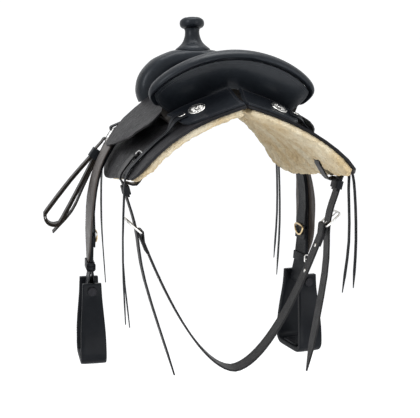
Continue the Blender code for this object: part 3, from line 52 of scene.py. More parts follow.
# ---------- materials ----------
class Nodes:
    """A short way to write a node tree."""

    def __init__(self, name):
        self.mat = bpy.data.materials.new(name)
        self.mat.use_nodes = True
        self.tree = self.mat.node_tree
        self.shader = self.tree.nodes["Principled BSDF"]
        self.coords = self.add("ShaderNodeTexCoord").outputs["Object"]

    def add(self, kind, **values):
        node = self.tree.nodes.new(kind)
        for key, value in values.items():
            if hasattr(node, key):
                setattr(node, key, value)
            else:
                node.inputs[key.replace("_", " ")].default_value = value
        return node

    def link(self, a, b):
        self.tree.links.new(a, b)

    def noise(self, scale, detail=3.0, rough=0.5, distort=0.0, stretch=None):
        n = self.add("ShaderNodeTexNoise", Scale=scale, Detail=detail, Roughness=rough, Distortion=distort)
        if stretch:
            m = self.add("ShaderNodeMapping")
            m.inputs["Scale"].default_value = stretch
            self.link(self.coords, m.inputs["Vector"])
            self.link(m.outputs["Vector"], n.inputs["Vector"])
        else:
            self.link(self.coords, n.inputs["Vector"])
        return n.outputs["Fac"]

    def cells(self, scale):
        n = self.add("ShaderNodeTexVoronoi", Scale=scale)
        self.link(self.coords, n.inputs["Vector"])
        return n.outputs["Distance"]

    def ramp(self, fac, *stops):
        n = self.add("ShaderNodeValToRGB")
        e = n.color_ramp.elements
        while len(e) < len(stops):
            e.new(0.5)
        for k, (at, rgb) in enumerate(stops):
            e[k].position = at
            e[k].color = (*rgb, 1.0) if hasattr(rgb, "__len__") else (rgb, rgb, rgb, 1.0)
        self.link(fac, n.inputs["Fac"])
        return n.outputs["Color"]

    def range(self, value, a, b, low, high):
        n = self.add("ShaderNodeMapRange")
        for k, v in zip(("From Min", "From Max", "To Min", "To Max"), (a, b, low, high)):
            n.inputs[k].default_value = v
        self.link(value, n.inputs["Value"])
        return n.outputs["Result"]

    def mix(self, fac, a, b, blend="MIX"):
        n = self.add("ShaderNodeMix")
        n.data_type = "RGBA"
        n.blend_type = blend
        for key, value in ((0, fac), (6, a), (7, b)):
            if hasattr(value, "is_linked"):
                self.link(value, n.inputs[key])
            elif key == 0:
                n.inputs[key].default_value = value
            else:
                n.inputs[key].default_value = (*value, 1.0)
        return n.outputs[2]

    def sum(self, a, b, share=1.0):
        n = self.add("ShaderNodeMath")
        n.operation = "MULTIPLY_ADD"
        self.link(b, n.inputs[0])
        n.inputs[1].default_value = share
        self.link(a, n.inputs[2])
        return n.outputs["Value"]

    def bump(self, height, strength, distance):
        n = self.add("ShaderNodeBump", Strength=strength, Distance=distance)
        self.link(height, n.inputs["Height"])
        self.link(n.outputs["Normal"], self.shader.inputs["Normal"])

    def set(self, **values):
        for key, value in values.items():
            socket = self.shader.inputs[key.replace("_", " ")]
            if hasattr(value, "is_linked"):
                self.link(value, socket)
            else:
                socket.default_value = value
        return self.mat


COOL = (0.78, 0.89, 1.0, 1.0)  # the blue cast of a black dye's shine


def leather(name, dark, light, bloom, rough=(0.36, 0.52), grain=0.35, worn=0.5, coat=0.16, gloss=0.17):
    """Finished cowhide: uneven dye, a pebbled grain with fine creases, and a bloom on worn edges."""
    n = Nodes(name)
    cloud = n.noise(9.0, 4.0, 0.55, 0.4)
    mottle = n.noise(48.0, 3.0, 0.6)
    base = n.ramp(n.sum(cloud, mottle, 0.35), (0.42, dark), (0.92, light))
    edge = n.add("ShaderNodeNewGeometry").outputs["Pointiness"]
    rub = n.range(n.sum(edge, n.noise(120.0, 2.0, 0.6), 0.05), 0.535, 0.60, 0.0, worn)
    n.set(Base_Color=n.mix(rub, base, bloom))
    pores = n.cells(900.0)
    creases = n.noise(240.0, 4.0, 0.62, 1.2)
    folds = n.noise(36.0, 3.0, 0.5, 0.6)
    n.bump(n.sum(n.sum(pores, creases, 0.8), folds, 1.1), grain, 0.0007)
    scuff = n.noise(70.0, 5.0, 0.6, 0.8)
    n.set(Roughness=n.range(n.sum(scuff, cloud, 0.4), 0.5, 0.9, *rough), Specular_IOR_Level=gloss)
    n.set(Specular_Tint=COOL, Coat_Weight=coat, Coat_Roughness=0.22)
    return n.mat


def metal(name, bright, dull, rough):
    """Plated metal with a faint haze, fine scratches and darker tarnish in patches."""
    n = Nodes(name)
    tarnish = n.noise(160.0, 4.0, 0.6, 0.5)
    scratch = n.noise(1400.0, 2.0, 0.5, 0.0, (1.0, 0.08, 1.0))
    n.set(Base_Color=n.ramp(tarnish, (0.30, dull), (0.62, bright)), Metallic=1.0)
    n.set(Roughness=n.range(n.sum(tarnish, scratch, 0.5), 0.5, 1.0, rough, rough + 0.16))
    n.bump(scratch, 0.2, 0.00006)
    return n.mat


def wool():
    """Cream shearling: clumped locks and creamy tips, with painted shade that darkens and warms the colour between the
    locks.
    """
    n = Nodes("fleece_wool")
    clump = n.noise(95.0, 5.0, 0.68, 1.6)
    yellow = n.noise(11.0, 3.0, 0.5, 0.5)
    locks = n.cells(170.0)
    patch = n.noise(52.0, 4.0, 0.6, 0.8)
    tips = n.ramp(n.sum(yellow, patch, 0.6), (0.62, (0.80, 0.62, 0.36)), (0.98, (0.98, 0.87, 0.65)))
    # painted shade: a darker, warmer colour multiplied in between the clumps and locks, where shade falls in the pile
    painted_lock_shade = n.ramp(n.sum(clump, locks, 0.45), (0.36, (0.66, 0.56, 0.40)), (0.66, (1.0, 1.0, 1.0)))
    n.set(Base_Color=n.mix(0.75, tips, painted_lock_shade, "MULTIPLY"), Roughness=0.95, Specular_IOR_Level=0.12)
    n.set(Sheen_Weight=0.12, Sheen_Roughness=0.5, Sheen_Tint=(1.0, 0.92, 0.78, 1.0))
    fibre = n.noise(700.0, 4.0, 0.7, 2.5)
    n.bump(n.sum(n.sum(clump, fibre, 0.5), locks, -0.6), 0.8, 0.0022)
    return n.mat


def rawhide():
    """The tree: rawhide over wood, coloured near black, slightly blotched, with a fine skin texture."""
    n = Nodes("rawhide")
    blotch = n.noise(26.0, 4.0, 0.6, 0.8)
    n.set(Base_Color=n.ramp(blotch, (0.34, (0.009, 0.008, 0.007)), (0.66, (0.022, 0.019, 0.016))))
    n.set(Roughness=n.range(blotch, 0.3, 0.7, 0.55, 0.75), Specular_IOR_Level=0.15)
    n.bump(n.sum(n.noise(300.0, 4.0, 0.6, 0.8), n.cells(520.0), 0.4), 0.35, 0.0006)
    return n.mat


def thread(name, rgb):
    """Waxed thread, twisted along its length."""
    n = Nodes(name)
    fuzz = n.noise(1800.0, 3.0, 0.6, 1.0)
    n.set(Base_Color=n.ramp(fuzz, (0.3, tuple(0.6 * c for c in rgb)), (0.7, rgb)))
    n.set(Roughness=n.range(fuzz, 0.3, 0.7, 0.5, 0.75), Specular_IOR_Level=0.35)
    n.bump(fuzz, 0.4, 0.0002)
    return n.mat


BLACK = leather("black_leather", (0.0030, 0.0038, 0.0055), (0.0100, 0.0122, 0.0160), (0.030, 0.034, 0.042))
SOFT = leather("black_leather_soft", (0.0045, 0.0050, 0.0065), (0.0120, 0.0130, 0.0155), (0.026, 0.028, 0.032),
               rough=(0.42, 0.60), grain=0.4, worn=0.35, coat=0.10, gloss=0.05)
WORN = leather("worn_black_leather", (0.0050, 0.0048, 0.0054), (0.0190, 0.0182, 0.0200), (0.050, 0.049, 0.052),
               rough=(0.42, 0.58), grain=0.3, worn=0.5, coat=0.03, gloss=0.04)
FLAP = leather("flap_leather", (0.0050, 0.0046, 0.0052), (0.0165, 0.0152, 0.0166), (0.045, 0.043, 0.046),
               rough=(0.40, 0.56), grain=0.25, worn=0.5, coat=0.04, gloss=0.04)
STRAP = leather("strap_leather", (0.0060, 0.0054, 0.0058), (0.0230, 0.0210, 0.0220), (0.0035, 0.0034, 0.0038),
                rough=(0.40, 0.56), grain=0.3, worn=0.9, coat=0.14, gloss=0.06)
FENDER = leather("fender_leather", (0.040, 0.033, 0.030), (0.105, 0.088, 0.078), (0.15, 0.13, 0.118),
                 rough=(0.36, 0.52), grain=0.28, worn=0.45, coat=0.12, gloss=0.08)
LATIGO = leather("latigo_leather", (0.0090, 0.0060, 0.0035), (0.0320, 0.0220, 0.0140), (0.006, 0.0045, 0.003),
                 rough=(0.40, 0.56), grain=0.35, worn=0.8, coat=0.12, gloss=0.06)
SUEDE = leather("seat_leather", (0.008, 0.008, 0.010), (0.024, 0.024, 0.027), (0.045, 0.045, 0.047),
                rough=(0.52, 0.72), grain=0.55, worn=0.4, coat=0.0, gloss=0.08)
SILVER = metal("silver_plate", (0.86, 0.85, 0.82), (0.62, 0.60, 0.57), 0.16)
NICKEL = metal("nickel_hardware", (0.78, 0.78, 0.77), (0.58, 0.57, 0.55), 0.22)
BRASS = metal("brass_hardware", (0.80, 0.63, 0.36), (0.52, 0.38, 0.20), 0.24)
# near-black steel for the bolts and horn post, also used as painted shade on the left hobble buckle
STEEL_AND_SHADE = metal("blackened_steel_and_painted_shade", (0.022, 0.022, 0.025), (0.012, 0.012, 0.013), 0.36)
WOOL = wool()
HIDE = rawhide()
THREAD = thread("dark_thread", (0.075, 0.074, 0.078))
# painted shade: a near-black colour for the inside of the punched holes
HOLE_SHADE = thread("punched_hole_painted_shade", (0.010, 0.009, 0.008))


# ---------- carrying the solids over ----------
def welded(node):
    """A clean bmesh of a solid: shared corners, and quads where the facets allow."""
    me = NODES[node].data
    bm = bmesh.new()
    bm.from_mesh(me)
    for layer in list(bm.loops.layers.float_vector):
        bm.loops.layers.float_vector.remove(layer)
    bmesh.ops.remove_doubles(bm, verts=bm.verts, dist=2e-6)
    bmesh.ops.join_triangles(bm, faces=bm.faces, angle_face_threshold=math.radians(24),
                             angle_shape_threshold=math.radians(50), cmp_seam=False)
    bmesh.ops.recalc_face_normals(bm, faces=bm.faces)
    for f in bm.faces:
        f.smooth = True
    return bm


def to_object(bm, name, mat, body):
    """Makes a mesh with one material out of a bmesh, and lets it ride on a body."""
    me = bpy.data.meshes.new(name)
    bm.to_mesh(me)
    bm.free()
    for key in ("custom_normal", "sharp_face", "sharp_edge"):
        if key in me.attributes:
            me.attributes.remove(me.attributes[key])
    me.shade_smooth()
    me.materials.clear()
    me.materials.append(mat)
    ob = bpy.data.objects.new(name, me)
    bpy.context.scene.collection.objects.link(ob)
    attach(ob, body)
    return ob


def skin(node, mat, edge, smooth, angle=34):
    """A solid with rolled edges in place of its sharp ones, smoothed where its form is soft."""
    ob = to_object(welded(node), node + "_skin", mat, BODY[node])
    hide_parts(node)
    if edge:
        bevel = ob.modifiers.new("rolled edges", "BEVEL")
        bevel.width = edge
        bevel.segments = 2
        bevel.limit_method = "ANGLE"
        bevel.angle_limit = math.radians(angle)
        bevel.harden_normals = not smooth
        bevel.use_clamp_overlap = True
    if smooth:
        sub = ob.modifiers.new("soft form", "SUBSURF")
        sub.levels = smooth
        sub.render_levels = smooth
    return ob


def plump(ob, amount):
    """Gives back what smoothing takes off a thin round form."""
    push = ob.modifiers.new("full form", "DISPLACE")
    push.mid_level = 0.0
    push.strength = amount


def pair(*stems):
    """The left and right nodes of each stem."""
    return [stem + "_" + hand for stem in stems for hand, side in SIDES]


# nodes and their look: material, width of the rolled edges, smoothing levels and, on a rounded form, SOFT_FORM
LOOK_ROWS = (
    (["horn_neck_wrap", "horn_cap", "cantle_roll", "swell_cover"], (BLACK, 0.0008, 2, SOFT_FORM)),
    (["cantle_back"], (BLACK, 0.0006, 0)),
    (["seat"], (SUEDE, 0.0010, 2, SOFT_FORM)),
    (pair("skirt"), (WORN, 0.0012, 0)),
    (pair("seat_jockey"), (FLAP, 0.0008, 0)),
    (pair("front_jockey", "rear_jockey"), (BLACK, 0.0008, 0)),
    (pair("rigging_leather", "hobble_strap", "billet_keeper", "stirrup_leather"), (SOFT, 0.0005, 0)),
    (pair("flank_billet") + ["flank_cinch"], (STRAP, 0.0006, 0)),
    (pair("rear_strings", "front_strings"), (SOFT, 0.0003, 0)),
    (pair("stirrup"), (SOFT, 0.0012, 1)),
    (pair("stirrup_tread"), (SOFT, 0.0008, 0)),
    (pair("fender"), (FENDER, 0.0009, 1)),
    (["latigo"], (LATIGO, 0.0006, 0)),
    (["latigo_keeper"], (SOFT, 0.0005, 0)),
    (pair("flank_buckle", "front_dee", "rear_rigging"), (NICKEL, 0.0, 1)),
    # the left hobble buckle sits in shade and is drawn in near-black steel, which paints that shade; its pair on the
    # right is nickel
    (["hobble_buckle_left"], (STEEL_AND_SHADE, 0.0003, 0)),
    (["hobble_buckle_right"], (NICKEL, 0.0003, 0)),
    (pair("leather_buckle"), (BRASS, 0.0, 1)),
    (pair("stirrup_bolt") + ["horn_post"], (STEEL_AND_SHADE, 0.0004, 0)),
    (pair("tree_bar") + ["ground_seat", "tree_fork", "tree_cantle"], (HIDE, 0.0006, 0)),
)
LOOKS = {n: look for names, look in LOOK_ROWS for n in names}

DRESSED = {n: skin(n, *look) for n, look in LOOKS.items()}
plump(DRESSED["cantle_roll"], 0.0007)
for n in pair("flank_buckle"):
    plump(DRESSED[n], 0.0005)


# ---------- finding places on a solid ----------
SHEET_FOLD = 40     # degrees: a sharper fold ends the side of a sheet
CLEAR_SHARE = 0.86  # a seam point this share of the inset from the edge is still clear of it
CLEAR_STEPS = 8     # how many points of the edge to either side it is measured to
SEAM_GAP = 3.2      # in pitches: where neighbours lie further apart the seam is broken


def surface(node):
    """A solid's welded mesh, with its normals up to date."""
    bm = welded(node)
    bm.normal_update()
    return bm


def face_patch(bm, toward):
    """The faces of a sheet's one side: what lies together without crossing a sharp edge."""
    bm.faces.index_update()
    left = set(bm.faces)
    best = (0.0, None)
    limit = math.cos(math.radians(SHEET_FOLD))
    for seed in bm.faces:
        if seed not in left:
            continue
        left.discard(seed)
        patch, todo = {seed}, [seed]
        while todo:
            f = todo.pop()
            for e in f.edges:
                for g in e.link_faces:
                    if g in left and f.normal.dot(g.normal) > limit:
                        left.discard(g)
                        patch.add(g)
                        todo.append(g)
        patch = sorted(patch, key=lambda f: f.index)
        score = sum(f.calc_area() * max(0.0, f.normal.dot(toward)) for f in patch)
        if score > best[0]:
            best = (score, patch)
    return best[1]


def rim_loops(patch):
    """Closed outlines of a patch as lists of points, its faces lying to the left."""
    after, inside = {}, set(patch)
    for f in patch:
        for lp in f.loops:
            if not any(g is not f and g in inside for g in lp.edge.link_faces):
                after[lp.vert] = lp.link_loop_next.vert
    loops = []
    while after:
        start = next(iter(after))
        line, v = [], start
        while v in after:
            line.append(v.co.copy())
            v = after.pop(v)
        if len(line) > 3:
            loops.append(line)
    return loops


def resample(line, pitch):
    """Evenly spaced points along a closed line."""
    points = line + line[:1]
    run = np.cumsum([0.0] + [(b - a).length for a, b in zip(points, points[1:])])
    count = max(2, int(round(run[-1] / pitch)))
    out, k = [], 0
    for i in range(count):
        s = run[-1] * i / count
        while k < len(run) - 2 and run[k + 1] < s:
            k += 1
        t = (s - run[k]) / max(run[k + 1] - run[k], 1e-9)
        out.append(points[k].lerp(points[k + 1], t))
    return out


def patch_tree(patch):
    """A search tree over one side of a sheet."""
    verts, index, faces = [], {}, []
    for f in patch:
        row = []
        for v in f.verts:
            if v not in index:
                index[v] = len(verts)
                verts.append(v.co.copy())
            row.append(index[v])
        faces.append(row)
    return BVHTree.FromPolygons(verts, faces)


def inset_line(node, toward, inset, pitch):
    """Points along a sheet's longest edge, drawn in by inset, with the sheet's normal and the line's direction."""
    bm = surface(node)
    patch = face_patch(bm, Vector(toward))
    side = patch_tree(patch)
    loop = max(rim_loops(patch), key=lambda q: sum((b - a).length for a, b in zip(q, q[1:])))
    bm.free()
    line = resample(loop, pitch)
    moved = []
    for i, p in enumerate(line):
        along = (line[(i + 1) % len(line)] - line[i - 1]).normalized()
        normal = side.find_nearest(p)[1]
        q, normal = side.find_nearest(p + normal.cross(along).normalized() * inset)[:2]
        away = min((q - line[(i + k) % len(line)]).length for k in range(-CLEAR_STEPS, CLEAR_STEPS + 1))
        if away > inset * CLEAR_SHARE:
            moved.append((q, normal))
    out = []
    for i, (q, normal) in enumerate(moved):
        a, b = moved[i - 1][0], moved[(i + 1) % len(moved)][0]
        if (b - a).length < SEAM_GAP * pitch:
            out.append((q, normal, (b - a).normalized()))
    return out


# ---------- stitches ----------
STITCH = (0.0031, 0.0010, 0.00040)  # length, width and height
COVER_ROOM = 0.0035  # what lies closer above the leather than this hides the seam
CLEAR_OF = 0.0005    # the search starts this far above the leather itself


def spindle(bm, at, out, along, length, width, lift):
    """One stitch: a short pillow that dips into the leather at both ends."""
    side = out.cross(along).normalized()
    rings = []
    for t, w, h in ((-0.5, 0.0, -0.5), (-0.30, 0.85, 0.55), (0.30, 0.85, 0.55), (0.5, 0.0, -0.5)):
        c = at + along * length * t + out * lift * h
        if w == 0.0:
            rings.append([bm.verts.new(c)])
        else:
            rings.append([bm.verts.new(c + side * width / 2 * w * math.cos(a) + out * lift * w * math.sin(a))
                          for a in (math.tau * k / 5 for k in range(5))])
    for k in range(5):
        j = (k + 1) % 5
        bm.faces.new((rings[0][0], rings[1][j], rings[1][k]))
        bm.faces.new((rings[1][k], rings[1][j], rings[2][j], rings[2][k]))
        bm.faces.new((rings[3][0], rings[2][k], rings[2][j]))


def all_solids():
    """One search tree over everything, to see what lies over what."""
    verts, faces = [], []
    for node in NODES:
        me = NODES[node].data
        start = len(verts)
        verts += [v.co.copy() for v in me.vertices]
        faces += [[start + k for k in f.vertices] for f in me.polygons]
    return BVHTree.FromPolygons(verts, faces)


SOLIDS = all_solids()


def uncovered(q, out):
    """Whether nothing lies close above a point."""
    return SOLIDS.ray_cast(q + out * CLEAR_OF, out, COVER_ROOM)[0] is None


def stitch(node, toward, inset=0.0055, pitch=0.0042, top=math.inf, name=None):
    """A seam along a piece's edge, left out above a height and where another piece lies over it."""
    bm = bmesh.new()
    for q, normal, along in inset_line(node, toward, inset, pitch):
        if q.z < top and uncovered(q, normal):
            spindle(bm, q, normal, along, *STITCH)
    to_object(bm, name or node + "_stitching", THREAD, BODY[node])


# ---------- wool ----------
VOXEL = 0.0027        # size of the wool's facets


def pile(node):
    """Shearling in the place of the plain lining: a dense skin whose locks stand out to the horse's side."""
    ob = to_object(welded(node), node + "_wool", WOOL, BODY[node])
    mesh = ob.modifiers.new("locks", "REMESH")
    mesh.mode = "VOXEL"
    mesh.voxel_size = VOXEL
    bpy.context.view_layer.update()
    made = bpy.data.meshes.new_from_object(ob.evaluated_get(bpy.context.evaluated_depsgraph_get()))
    ob.modifiers.clear()
    ob.data = made
    count = len(made.vertices)
    co, no = np.empty(count * 3), np.empty(count * 3)
    made.vertices.foreach_get("co", co)
    made.vertex_normals.foreach_get("vector", no)
    co, no = co.reshape(-1, 3), no.reshape(-1, 3)
    free = np.clip(0.42 - 1.6 * no[:, 2], 0.0, 1.0)  # none where the skirt lies on it, all where it faces down
    lift = np.empty(count)
    for i, p in enumerate(co):
        v = Vector(p)
        clump = noise.noise(v * 66.0) + 0.7 * noise.noise(v * 140.0)
        lock = 1.0 - 2.0 * abs(noise.noise(v * 210.0 + Vector((noise.noise(v * 60.0), 0, 0))))
        lift[i] = 0.0014 + 0.0031 * clump + 0.0015 * lock
    co += no * (free * lift)[:, None]
    made.vertices.foreach_set("co", co.ravel())
    made.materials.clear()
    made.materials.append(WOOL)
    made.shade_smooth()
    made.update()
    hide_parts(node)


for n in pair("fleece"):
    pile(n)


# ---------- silver, and small pieces turned or bent ----------
def engraved():
    """Silver whose cut lines have gone dark."""
    n = Nodes("engraved_silver")
    cut = n.range(n.add("ShaderNodeNewGeometry").outputs["Pointiness"], 0.44, 0.505, 0.0, 1.0)
    haze = n.noise(260.0, 3.0, 0.6)
    bright = n.ramp(haze, (0.3, (0.70, 0.69, 0.66)), (0.7, (0.88, 0.87, 0.84)))
    n.set(Base_Color=n.mix(cut, (0.30, 0.29, 0.275), bright), Metallic=1.0)
    n.set(Roughness=n.range(haze, 0.3, 0.7, 0.20, 0.34))
    n.bump(n.noise(1500.0, 2.0, 0.5), 0.15, 0.00005)
    return n.mat


ENGRAVED = engraved()
START_ABOVE = 0.05   # a search for the leather starts this far above it
WIRE_SIDES = 8
CONCHO_STEPS = (0.0, 0.09, 0.16, 0.21, 0.25, 0.30, 0.36, 0.43, 0.50, 0.57, 0.64, 0.70, 0.745, 0.78,
                0.82, 0.86, 0.90, 0.94, 0.975, 1.0)


def concho_height(r, a, petals):
    """A domed button, a ring of petals and a roped rim, with sizes as shares of the radius."""
    if r == 1.0:
        return 0.045
    h = 0.105 * math.sqrt(max(0.0, 1.0 - 0.75 * r * r))
    if r < 0.21:
        h += 0.085 * math.sqrt(max(0.0, 1.0 - (r / 0.21) ** 2))
    elif r < 0.78:
        t = (r - 0.21) / 0.57
        ridge = abs(math.cos(petals * a / 2)) ** 0.6
        h += 0.060 * math.sin(math.pi * t) ** 0.7 * ridge - 0.014
        h -= 0.020 * (abs(math.sin(petals * a / 2)) < 0.16) * (0.1 < t < 0.9)
    elif 0.82 <= r <= 0.975:
        t = (r - 0.82) / 0.155
        h += 0.050 * math.sin(math.pi * t) * (0.55 + 0.45 * math.cos(petals * 6 * a + 5.0 * t))
    return h


def concho(name, place, radius, body, petals):
    """An engraved silver button, closed at the back."""
    turns = petals * 12
    bm = bmesh.new()
    rings = []
    for r in CONCHO_STEPS:
        row = []
        for k in range(turns if r else 1):
            a = math.tau * k / turns
            h = concho_height(r, a, petals)
            at = Vector((radius * r * math.cos(a), radius * r * math.sin(a), radius * h))
            row.append(bm.verts.new(place @ at))
        rings.append(row)
    foot = [bm.verts.new(place @ Vector((radius * math.cos(math.tau * k / turns),
                                         radius * math.sin(math.tau * k / turns), 0.0))) for k in range(turns)]
    rings.append(foot)
    for k in range(turns):
        bm.faces.new((rings[0][0], rings[1][k], rings[1][(k + 1) % turns]))
    for a, b in zip(rings[1:], rings[2:]):
        for k in range(turns):
            j = (k + 1) % turns
            bm.faces.new((a[k], b[k], b[j], a[j]))
    bm.faces.new(list(reversed(foot)))
    bmesh.ops.recalc_face_normals(bm, faces=bm.faces)
    return to_object(bm, name, ENGRAVED, body)


def frame_of(node):
    """Where a flat round piece sits: its middle, with Z square to its face."""
    co = np.array([v.co for v in NODES[node].data.vertices])
    co = np.unique(np.round(co, 6), axis=0)
    mid = (co.max(0) + co.min(0)) / 2
    axes = np.linalg.svd(co - co.mean(0))[2]
    out = Vector(axes[2])
    if out.z < 0:
        out = -out
    x = Vector((0, 1, 0)).cross(out).normalized()
    h = (co - mid) @ np.array(out)
    m = Matrix((x, out.cross(x), out)).transposed().to_4x4()
    m.translation = Vector(mid) + out * float(h.min())
    return m


def seat_on(names, at, out):
    """Where a line along -out, from START_ABOVE a place, first meets the pieces named, and the normal there."""
    best = None
    for n in names:
        bm = surface(n)
        hit, normal, face, gap = BVHTree.FromBMesh(bm).ray_cast(Vector(at) + Vector(out) * START_ABOVE, -Vector(out))
        bm.free()
        if hit and (best is None or gap < best[2]):
            best = (hit, normal, gap)
    return best[0], best[1]


def frame_at(at, out):
    """A frame with Z along out."""
    out = out.normalized()
    x = Vector((0, 1, 0)).cross(out).normalized()
    m = Matrix((x, out.cross(x), out)).transposed().to_4x4()
    m.translation = at
    return m


def ring_tube(name, points, radius, mat, body, closed=True):
    """A bent wire."""
    bm = bmesh.new()
    rings, count = [], len(points)
    up = Vector((0.31, 0.17, 0.93))
    for i, p in enumerate(points):
        a = points[i - 1] if closed or i else points[0]
        b = points[(i + 1) % count] if closed or i < count - 1 else points[-1]
        along = (b - a).normalized()
        side = along.cross(up).normalized()
        top = side.cross(along)
        up = top
        rings.append([bm.verts.new(p + (side * math.cos(q) + top * math.sin(q)) * radius)
                      for q in (math.tau * k / WIRE_SIDES for k in range(WIRE_SIDES))])
    pairs = list(zip(rings, rings[1:])) + ([(rings[-1], rings[0])] if closed else [])
    for a, b in pairs:
        shift = min(range(WIRE_SIDES), key=lambda s: (a[0].co - b[s].co).length)
        for k in range(WIRE_SIDES):
            j = (k + 1) % WIRE_SIDES
            bm.faces.new((a[k], a[j], b[(j + shift) % WIRE_SIDES], b[(k + shift) % WIRE_SIDES]))
    if not closed:
        bm.faces.new(rings[0])
        bm.faces.new(list(reversed(rings[-1])))
    bmesh.ops.recalc_face_normals(bm, faces=bm.faces)
    to_object(bm, name, mat, body)


def turned(bm, at, out, outline, turns):
    """A round piece on the leather, from an outline of (radius, height); its last ring is closed by one face."""
    x = out.orthogonal().normalized()
    y = out.cross(x)
    rings = []
    for r, h in outline:
        spots = [0.0] if r == 0.0 else [math.tau * j / turns for j in range(turns)]
        rings.append([bm.verts.new(at + out * h + (x * math.cos(q) + y * math.sin(q)) * r) for q in spots])
    for a, b in zip(rings, rings[1:]):
        for j in range(turns):
            i = (j + 1) % turns
            bm.faces.new((a[j], a[i], b[0]) if len(b) == 1 else (a[j], a[i], b[i], b[j]))
    if len(rings[-1]) > 1:
        bm.faces.new(rings[-1])


def heads(name, node, places, outline, mat, turns):
    """Rivets, or punched holes drawn as a lip round a disc of painted shade, on one piece."""
    bm = bmesh.new()
    for at, out in places:
        turned(bm, at, out, outline, turns)
    to_object(bm, name, mat, BODY[node])


def on_side(side, place):
    """A place or direction given for the right side, on the side wanted."""
    return side * place[0], place[1], place[2]


def fuller(value, power):
    """A sine or cosine pushed outwards, which turns an oval loop into a squarer one."""
    return math.copysign(abs(value) ** power, value)


REAR_CONCHO_R = 0.0185
FRONT_CONCHO_R = 0.0135
FRONT_CONCHO_LIFT = 0.0002
# places and directions are given for the right side
FRONT_CONCHO_AT, FRONT_CONCHO_OUT = (0.1487, 0.236, -0.0418), (0.6764, 0.0, 0.7358)
LOOP_AT, LOOP_OUT = (0.1122, -0.262, -0.027), (0.4681, -0.0276, 0.883)
LOOP_HALF = (0.0068, 0.0185)   # half the width and half the length
LOOP_WIRE = 0.0010
LOOP_STEPS = 32

for hand, side in SIDES:
    node = "rear_concho_" + hand
    ob = concho(node + "_face", frame_of(node), REAR_CONCHO_R, BODY[node], 12)
    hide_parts(node)

    hit, out = seat_on(["front_jockey_" + hand], on_side(side, FRONT_CONCHO_AT), on_side(side, FRONT_CONCHO_OUT))
    place = frame_at(hit + out * FRONT_CONCHO_LIFT, out)
    concho("front_concho_" + hand, place, FRONT_CONCHO_R, "saddle", 10)

    out = Vector(on_side(side, LOOP_OUT))
    hit = seat_on(["rear_jockey_" + hand, "rear_strings_" + hand], on_side(side, LOOP_AT), out)[0]
    m = frame_at(hit + out * LOOP_WIRE, out)
    path = []
    for k in range(LOOP_STEPS):
        a = math.tau * k / LOOP_STEPS
        x, y = LOOP_HALF[0] * fuller(math.cos(a), 0.55), LOOP_HALF[1] * fuller(math.sin(a), 0.8)
        path.append(m @ Vector((x, y, 0.0)))
    ring_tube("string_loop_" + hand, path, LOOP_WIRE, SILVER, "saddle")


# ---------- seams ----------
FENDER_FREE = -0.185  # above this height the seat jockey passes close over the fender as the leg swings

for hand, side in SIDES:
    stitch("fender_" + hand, (side, 0, 0.3), inset=0.0060, top=FENDER_FREE)
    stitch("skirt_" + hand, (side * 0.6, 0, 0.8), inset=0.0085, pitch=0.0046)
    stitch("front_jockey_" + hand, (side * 0.6, 0, 0.8), inset=0.0055)
    stitch("rear_jockey_" + hand, (side * 0.4, 0, 0.9), inset=0.0055)
    stitch("seat_jockey_" + hand, (side * 0.7, 0, 0.7), inset=0.0060)
    stitch("rigging_leather_" + hand, (side * 0.7, 0, 0.7), inset=0.0045)
    stitch("stirrup_" + hand, (side, 0, 0), inset=0.0055)
    stitch("stirrup_tread_" + hand, (0, 0, 1), inset=0.0050)
stitch("cantle_back", (0, -1, 0.3), inset=0.0065)
stitch("seat", (0, 0, 1), inset=0.0120, pitch=0.0046)
stitch("flank_cinch", (0, 0, -1), inset=0.0040)
stitch("flank_cinch", (0, 0, 1), inset=0.0040, name="flank_cinch_inner_stitching")


# ---------- rivets, holes and buckle tongues ----------
RIVET_R, RIVET_H = 0.0042, 0.0018
RIVET_TURNS = 18
SUNK = -0.0004                # how deep a rivet's foot lies in the leather
RIVET = [(RIVET_R, SUNK)]
RIVET += [(RIVET_R * math.cos(a), RIVET_H * math.sin(a)) for a in (math.pi / 2 * k / 4 for k in (1, 2, 3))]
RIVET += [(0.0, RIVET_H)]
RIVET_AT = ((0.183, -0.3045), (0.160, -0.3590))  # out from the middle, and height
RIVET_OUT = (0.93, 0.0, -0.37)
HOLE_R = 0.0029
HOLE_TURNS = 14
# a burnished lip round a dark floor, both in a near-black that is painted shade standing in for the open hole
MOUTH = [(HOLE_R * r, h) for r, h in ((1.0, -0.0002), (0.94, 0.00022), (0.78, 0.00026), (0.70, 0.00006))]
HOLE_HEIGHTS = (-0.392, -0.428, -0.464, -0.500, -0.536)
TAIL_Z = -0.38
TAILS = {"left": (0.1859, 0.297), "right": (0.2016, 0.173)}  # a billet's free tail: its x at TAIL_Z, its slope inwards
FLANK_TONGUE_AT, FLANK_TONGUE_WAY = (0.1985, FLANK_Y, -0.2605), (0.7431, 0.0, 0.6691)
FLANK_TONGUE_LENGTH, FLANK_TONGUE_R = 0.044, 0.0016
LEATHER_TONGUE_X = {"left": -0.2616, "right": 0.2529}
LEATHER_TONGUE_Z = -0.3425    # its lower end
LEATHER_TONGUE_LENGTH, LEATHER_TONGUE_R = 0.026, 0.0015
HOBBLE_TONGUE = {"left": (-0.2638, -0.2831, -0.3981), "right": (0.2535, 0.2727, -0.4003)}  # x of both ends, height
HOBBLE_TONGUE_Y, HOBBLE_TONGUE_R = 0.0872, 0.0010


def tongue(name, node, points, radius):
    """A buckle's tongue, of the buckle's own metal."""
    ring_tube(name, points, radius, LOOKS[node][0], BODY[node], closed=False)


rivets = []
for hand, side in SIDES:
    out = Vector(on_side(side, RIVET_OUT))
    for x, z in RIVET_AT:
        rivets += [seat_on(["flank_cinch"], (side * x, FLANK_Y, z), way) for way in (out, -out)]
heads("flank_cinch_rivets", "flank_cinch", rivets, RIVET, NICKEL, RIVET_TURNS)

